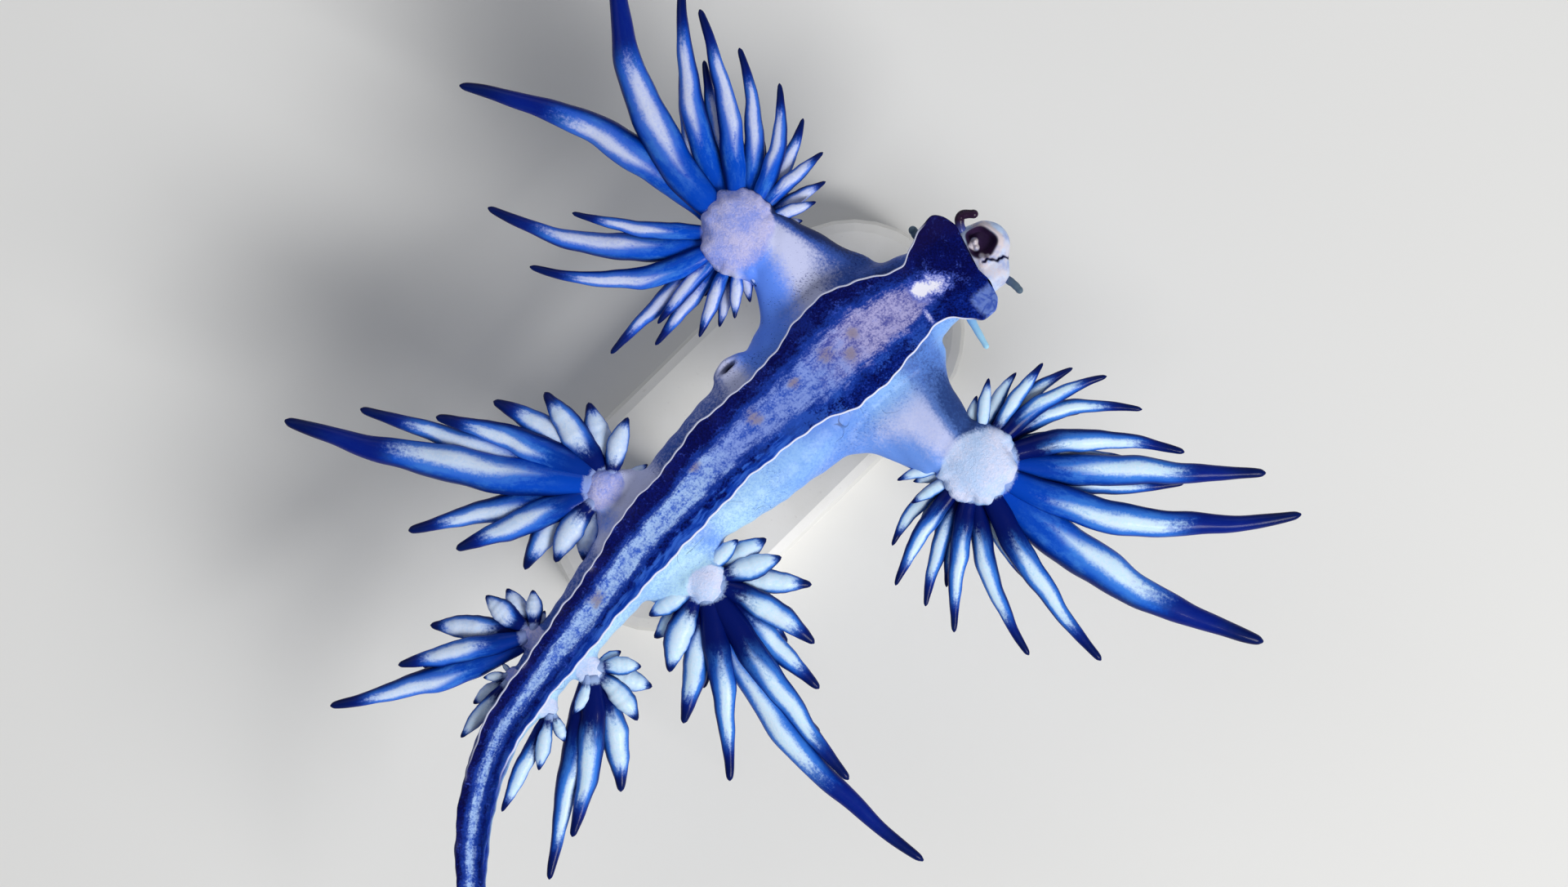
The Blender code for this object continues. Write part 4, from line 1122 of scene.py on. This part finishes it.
def tone_and_shading_of(points, along, aside, level):
    """The skin's tone with its painted shade and highlights at each point, and how far its silver
    turns to cyan there.
    """
    on_right, on_left = FLANK_TONES_AND_SHADING
    cyan = rise(aside, 1.0, -1.0) * (0.5 + 0.5 * rise(along, 9.0, 15.0))
    # The flanks: darker on the right partly as painted shade, lighter on the left partly as painted
    # light.
    bright = on_right + (on_left - on_right) * rise(aside, 0.8, -0.8)
    for name, (_, sections) in ARMS.items():
        low, high, ridge = ARM_SHADING[name]
        edges, _ = smooth_curve([(*front, *rear) for front, rear in sections], 12)
        front, span = edges[:, :2], edges[:, 2:] - edges[:, :2]
        gaps = np.linalg.norm(points[:, None, :2] - (front + span / 2)[None], axis=2)
        k = gaps.argmin(1)
        share = ((points[:, :2] - front[k]) * span[k]).sum(1) / (span[k] ** 2).sum(1)
        wide = np.linalg.norm(span[k], axis=1)
        near = rise(gaps.min(1), 0.85 * wide, 0.5 * wide) * rise(level, -2.8, -1.5)
        near *= rise(share, -0.25, 0.0) * rise(share, 1.25, 1.0)
        if name == "arm_front_left":
            outer = rise(aside, -2.3, -3.3)
            near *= np.maximum(outer, rise(share, 0.5, 0.2))
            cyan *= 1 - near * outer * 0.85
        begin, reached, left, end = ridge
        # The headward edge is dark with painted shade, and the ridge bears a painted highlight.
        low = low + ROOT_LIFT * rise(np.abs(aside), 4.6, 2.6)
        shade = low + (RIDGE_HIGHLIGHT - low) * rise(share, begin, reached)
        shade += (high - RIDGE_HIGHLIGHT) * rise(share, left, end)
        bright = bright * (1 - near) + shade * near
    dx, dy, size = TUBE_LIGHT
    spot = body_point(PAPILLA[0] + dx, PAPILLA[1] + dy, 0)[:2]
    lit = bell(np.linalg.norm(points[:, :2] - spot, axis=1), size) * rise(level, -1.5, -1.0)
    return bright + (RIDGE_HIGHLIGHT - bright) * lit, cyan


def foot_half(along, side):
    """Half the width of the foot on one side (1 right, 2 left), rounded off at its front lobes."""
    half = float(table_value(FOOT_HALF, along, side))
    share = min(max(along, 0) / LOBE_END, 1)
    return FRONT_HALF + (half - FRONT_HALF) * math.sqrt(1 - (1 - share) ** 2)


def make_foot():
    """The sole, from its front lobes to the tip of the tail, with a thin raised rim."""
    front_places = FRONT_END * np.linspace(0, 1, FRONT_RINGS)[:-1] ** 2
    places = np.concatenate([front_places, np.linspace(FRONT_END, TAIL_END + 0.02, FOOT_RINGS)])
    u_top = np.sin(np.linspace(-1, 1, FOOT_TOP) * np.pi / 2) * 0.999
    u = np.concatenate([u_top, np.linspace(0.93, -0.93, FOOT_BELOW)])
    is_top = np.arange(len(u)) < FOOT_TOP
    rings, alongs, acrosses, edges = [], [], [], []
    for along in places:
        plain = foot_half(along, 1), foot_half(along, 2)
        half = sum(plain) / 2
        right, left = (
            width + float(ripple(along, *waves)) * min(1, half)
            for width, waves in zip(plain, EDGE_WAVES)
        )
        aside = np.where(u > 0, u * right, u * left)
        edge = (1 - np.abs(u)) * half
        fold = float(ripple(along, (0.03, 2.3, 0.9), (0.015, 0.9, 2.2)))
        trough = -TROUGH_DEPTH * min(1, half) * (1 - np.abs(u) ** 1.6)
        top = SOLE_TOP + trough + fold * np.abs(u) ** 4 - EDGE_DROP * rise(edge, EDGE_ROUND, 0.0)
        thin = min(1, 0.3 + along / 0.25) * min(1, 0.45 + half * 0.6)
        low = SOLE_UNDER - SOLE_THICKNESS * thin * rise(np.abs(u), 1.0, 0.7)
        level = np.where(is_top, top * min(1, 0.5 + half * 0.5), low)
        notch = NOTCH_DEPTH * (1 - u * u)
        for place, size, depth in FRONT_WAVES:
            notch = notch + depth * bell(aside - place, size)
        notch = notch * float(rise(along, 1.5, 0.0))
        rings.append(body_point(along + notch, aside, level))
        alongs.append(np.full(len(u), along))
        acrosses.append(u)
        edges.append(edge)
    foot = mesh_of_rings("foot", rings)
    alongs, acrosses, edges = (np.concatenate(values) for values in (alongs, acrosses, edges))
    front_edge = np.minimum(edges, alongs + 0.03)
    aside = acrosses * by_side(FOOT_HALF, alongs, acrosses > 0)
    stripe = by_side(STRIPE_HALF, alongs, acrosses > 0)
    softness = STRIPE_EDGE - (STRIPE_EDGE - TAIL_STRIPE_EDGE) * rise(alongs, 7.0, 15.0)
    tan = np.zeros(len(alongs))
    for place, offset, size in TAN_SPOTS:
        tan = np.maximum(tan, bell(np.hypot(alongs - place, aside - offset), size))
    patch = np.zeros(len(alongs))
    for place, offset, long, wide, strength in FOOT_PATCHES:
        away = np.hypot((alongs - place) / long, (aside - offset) / wide)
        patch = np.maximum(patch, bell(away, 1) * strength)
    set_attributes(
        foot,
        along=alongs,
        edge=front_edge,
        aside=aside,
        stripe=(stripe - np.abs(aside)) / softness,
        tan=tan,
        patch=patch,
        lobe=rise(aside, -0.8, -1.3) * rise(alongs - (aside + 1.5) * 0.25, 1.15, 0.6),
    )
    return foot


def ceras_width(reach, pad_radius, law, girth):
    length = reach - pad_radius
    return min(MOST_PLUMP * length + 0.1, law[0] + law[1] * length) * girth


def root_angles(name):
    """Directions of the roots of a fan's cerata round their pad, in degrees."""
    _, _, half, (start, end), law, tips = FANS[name]
    widths = [ceras_width(reach, half[0], law, girth) for _, reach, _, girth in tips]
    passed = np.cumsum(widths) - np.array(widths) / 2
    return [start + (end - start) * place / sum(widths) for place in passed]


def plan_direction(degrees):
    angle = math.radians(degrees)
    return Vector((math.cos(angle), math.sin(angle), 0))


def ceras_rings(root, tip, lean, width, reach, seed):
    """Rings of points and their shares of the length, for one ceras."""
    line = tip - root
    start = line.copy()
    start.rotate(plan_direction(0).rotation_difference(plan_direction(lean)))
    turn = root + start * CERAS_BEND
    shares = 1 - (1 - np.linspace(0, 1, CERAS_RINGS)) ** TIP_CROWDING
    r, c, t = (np.array(v) for v in (root, turn, tip))
    s = shares[:, None]
    path = r * (1 - s) ** 2 + c * 2 * s * (1 - s) + t * s**2
    path[:, 2] -= CERAS_DROOP * line.length * shares
    sway = ripple(shares, (0.012, 0.45, seed * 6), (0.006, 0.21, seed * 11)) * line.length * 0.35
    ahead, side, up = path_frame(np.gradient(path, axis=0))
    path += side * (sway * np.sin(np.pi * shares))[:, None]
    slim = float(rise(np.array(reach), SHORT_REACH, LONG_REACH))
    long, short = (table_value(rows, shares) for rows in (LONG_OUTLINE, SHORT_OUTLINE))
    outline = long * slim + short * (1 - slim)
    waves = ripple(shares, (0.02, 0.23, seed * 9), (0.012, 0.11, seed * 5))
    radii = width / 2 * outline * (1 + waves)
    angles = 2 * np.pi * np.arange(CERAS_SIDES) / CERAS_SIDES
    flat = CERAS_FLATNESS + 0.18 * rise(shares, 0.6, 1.0)
    ring = round_sections(side, up * flat[:, None], angles)
    keel = 1 + 0.05 * np.cos(angles * 2 + seed * 2)[None, :, None] * (1 - shares[:, None, None])
    rings = path[:, None] + ring * radii[:, None, None] * keel
    return rings, shares, angles, path[-1] + ahead[-1] * radii[-1] * CERAS_POINT


def lower_row(leaves):
    """Shorter cerata under the others, one between each two neighbours that are long enough."""
    row = []
    for k, (one, other) in enumerate(zip(leaves, leaves[1:])):
        reach = min(one[1], other[1])
        apart = (other[0] - one[0] + 180) % 360 - 180
        if reach < LOWER_LEAST or abs(apart) > LOWER_APART:
            continue
        aim = one[0] + apart * 0.5
        full = LOWER_REACH[k % len(LOWER_REACH)]
        reach *= LOWER_ROOM + (full - LOWER_ROOM) * float(rise(abs(apart), 26, 12))
        angle = (one[4] + other[4]) / 2
        row.append((aim, reach, (one[2] + other[2]) / 2, 0.95, angle, LOWER_LEVEL))
    return row


def make_fan(name):
    """All the cerata of one fan in one mesh."""
    centre, level, half, _, law, tips = FANS[name]
    middle = Vector((*centre, FOOT_LEVEL + level))
    tone = TONES.get(name.removeprefix("cerata_"), 0.95)
    leaves = []
    for k, (tip, angle) in enumerate(zip(tips, root_angles(name))):
        from_end = min(k, len(tips) - 1 - k)
        lift = END_LIFT * max(0.0, 1 - from_end / END_COUNT) - ROOT_DEPTH
        leaves.append((*tip, angle, lift + CERAS_TIER * (1 if k % 2 else -1)))
    leaves += lower_row(leaves)
    points, faces = [], []
    marks = {key: [] for key in ("share", "turn", "length", "tone", "seed", "clear")}
    maps = []
    for k, (aim, reach, lean, girth, angle, lift) in enumerate(leaves):
        seed = (0.37 + 0.618 * k + 0.11 * len(tips)) % 1
        width = ceras_width(reach, half[0], law, girth) * PLUMPER[name.split("_")[1]]
        level_middle = middle + Vector((0, 0, lift))
        root = level_middle + plan_direction(angle) * half[0] * ROOT_REACH
        tip = level_middle + plan_direction(aim) * reach
        rings, shares, angles, end = ceras_rings(root, tip, lean, width, reach, seed)
        first = len(points)
        points += [tuple(point) for ring in rings for point in ring]
        points += [tuple(rings[0].mean(0)), tuple(end)]
        turned = (angles + np.pi) % (2 * np.pi) - np.pi
        marks["share"] += list(np.repeat(shares, CERAS_SIDES)) + [0, 1]
        clear = shares * (tip - root).length - half[0] * (1 - ROOT_REACH)
        marks["clear"] += list(np.repeat(clear, CERAS_SIDES)) + [clear[0], clear[-1]]
        marks["turn"] += list(np.tile(turned / np.pi, CERAS_RINGS)) + [0, 0]
        count = CERAS_RINGS * CERAS_SIDES + 2
        for key, value in (("length", reach), ("tone", tone), ("seed", seed)):
            marks[key] += [value] * count
        strip = (k + MAP_MARGIN) / len(leaves), (1 - 2 * MAP_MARGIN) / len(leaves)
        for i in range(CERAS_RINGS - 1):
            for j in range(CERAS_SIDES):
                n = (j + 1) % CERAS_SIDES
                a, b = first + i * CERAS_SIDES, first + (i + 1) * CERAS_SIDES
                faces.append((a + j, b + j, b + n, a + n))
                u0, u1 = (strip[0] + strip[1] * x / CERAS_SIDES for x in (j, j + 1))
                v0, v1 = shares[i], shares[i + 1]
                maps += [(u0, v0), (u0, v1), (u1, v1), (u1, v0)]
        last = first + (CERAS_RINGS - 1) * CERAS_SIDES
        for j in range(CERAS_SIDES):
            n = (j + 1) % CERAS_SIDES
            u0, u1 = (strip[0] + strip[1] * x / CERAS_SIDES for x in (j, j + 1))
            faces.append((first + j, first + n, first + count - 2))
            maps += [(u0, 0.004), (u1, 0.004), ((u0 + u1) / 2, 0.0)]
            faces.append((last + n, last + j, first + count - 1))
            maps += [(u1, 0.996), (u0, 0.996), ((u0 + u1) / 2, 1.0)]
    fan = closed_object(name + "_leaves", points, faces, maps)
    set_attributes(fan, **marks)
    return fan


def make_feeler(name):
    """One tapered feeler with a blunt tip."""
    route, (root_radius, tip_radius) = FEELERS[name]
    world = [body_point(*point) for point in route]
    path, ahead = smooth_curve(world, FEELER_STEPS)
    ahead, side, up = path_frame(ahead)
    shares = np.linspace(0, 1, len(path))
    radii = root_radius + (tip_radius - root_radius) * shares**0.8
    radii *= 1 + ripple(shares, (0.04, 0.24, 0.5))
    ring = round_sections(side, up, 2 * np.pi * np.arange(FEELER_SIDES) / FEELER_SIDES)
    rings = path[:, None] + ring * radii[:, None, None]
    for out, squeeze in FEELER_CAP:
        cap = path[-1] + ahead[-1] * tip_radius * out + ring[-1] * tip_radius * squeeze
        rings = np.concatenate([rings, [cap]])
        shares = np.append(shares, 1.0)
    feeler = mesh_of_rings(name + "_form", rings, None, path[-1] + ahead[-1] * tip_radius)
    count = len(shares) * FEELER_SIDES + 1
    share = np.append(np.repeat(shares, FEELER_SIDES), 1.0)
    set_attributes(feeler, share=share, tone=np.full(count, FEELER_TONES.get(name, 0.0)))
    return feeler


def make_collar(name, place, level, form):
    """A turned ring round a rod, wider at its foot, or at its top where its flare is negative."""
    start, end, gap, flare = form
    low, high, radius = level + start, level + end, ROD_RADIUS + gap
    bpy.ops.object.select_all(action="DESELECT")
    middle = (place[0], place[1], (low + high) / 2)
    bpy.ops.mesh.primitive_cylinder_add(
        vertices=COLLAR_SIDES, radius=radius, depth=high - low, location=middle
    )
    collar = bpy.context.object
    collar.name = name
    bpy.ops.object.transform_apply()
    points = points_of(collar)
    wide = np.abs(points[:, 2] - (low if flare > 0 else high)) < 1e-4
    axis = np.array(place[:2])
    points[wide, :2] = axis + (points[wide, :2] - axis) * (1 + abs(flare))
    set_points(collar, points)
    corners = {"limit_method": "ANGLE", "angle_limit": math.radians(30)}
    apply_modifier(collar, "BEVEL", width=0.1, segments=3, **corners)
    return collar


def make_lights():
    world = bpy.data.worlds.new("studio")
    world.use_nodes = True
    sky = world.node_tree.nodes["Background"].inputs
    sky["Color"].default_value = (0.88, 0.91, 1.0, 1.0)
    sky["Strength"].default_value = 0.2
    bpy.context.scene.world = world
    for name, place, size, power, colour in (
        ("key", (0.17, -0.16, 0.25), 0.15, 1.1, (1.0, 0.99, 0.97)),
        ("fill", (-0.22, 0.16, 0.26), 0.24, 0.12, (0.93, 0.95, 1.0)),
        ("back", (0.02, 0.3, 0.2), 0.2, 0.12, (1.0, 1.0, 1.0)),
    ):
        lamp = bpy.data.lights.new(name, "AREA")
        lamp.size = size
        lamp.energy = power
        lamp.color = colour
        holder = bpy.data.objects.new(name, lamp)
        holder.location = place
        aim = Vector(LIGHT_AIM) - Vector(place)
        holder.rotation_euler = aim.to_track_quat("-Z", "Y").to_euler()
        bpy.context.scene.collection.objects.link(holder)


def make_floor():
    bpy.ops.object.select_all(action="DESELECT")
    bpy.ops.mesh.primitive_plane_add(size=FLOOR_SIZE, location=(0, 0, 0))
    floor = bpy.context.object
    floor.name = "floor"
    paint = Paint("floor", Roughness=0.9)
    cloud = paint.noise(0.02, 2.0)
    pale = paint.mix(cloud, rgb(226, 226, 224), rgb(232, 232, 230))
    floor.data.materials.append(paint.finish(Base_Color=pale))


def make_camera():
    """Straight down on the animal."""
    camera = bpy.data.cameras.new("camera")
    camera.sensor_width = SENSOR
    camera.lens = SENSOR * CAMERA_DISTANCE / (PICTURE_WIDTH * POINT * MM)
    camera.clip_start = 0.005
    holder = bpy.data.objects.new("camera", camera)
    holder.location = CAMERA_PLACE
    bpy.context.scene.collection.objects.link(holder)
    bpy.context.scene.camera = holder


def main():
    make_camera()
    make_lights()
    make_floor()
    bpy.context.scene.view_settings.view_transform = "Standard"

    skin_nodes = [
        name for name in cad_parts
        if name.startswith(("neck", "trunk", "tail", "arm", "head", "genital"))
    ]
    finish_piece(make_skin(), skin_material(), "skin", *skin_nodes)
    foot_nodes = [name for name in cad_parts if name.startswith("foot")]
    finish_piece(make_foot(), foot_material(), "sole", *foot_nodes)
    leaves = ceras_material()
    for name in FANS:
        finish_piece(make_fan(name), leaves, "cerata", name)
    smoky = feeler_material()
    for name in FEELERS:
        finish_piece(make_feeler(name), smoky, "head", name)

    composite, steel = stand_material(), rod_material()
    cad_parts["stand_base"].data.materials[0] = composite
    for name, along in RODS:
        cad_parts[name].data.materials[0] = steel
        place = body_point(along, 0, 0)
        back = FOOT_LEVEL - float(table_value(FLANKS, along, 3))
        finish_piece(make_collar(name + "_collar", place, STAND_TOP, RING), steel, "rod")
        finish_piece(make_collar(name + "_cup", place, back, CUP), composite, "stand")


main()
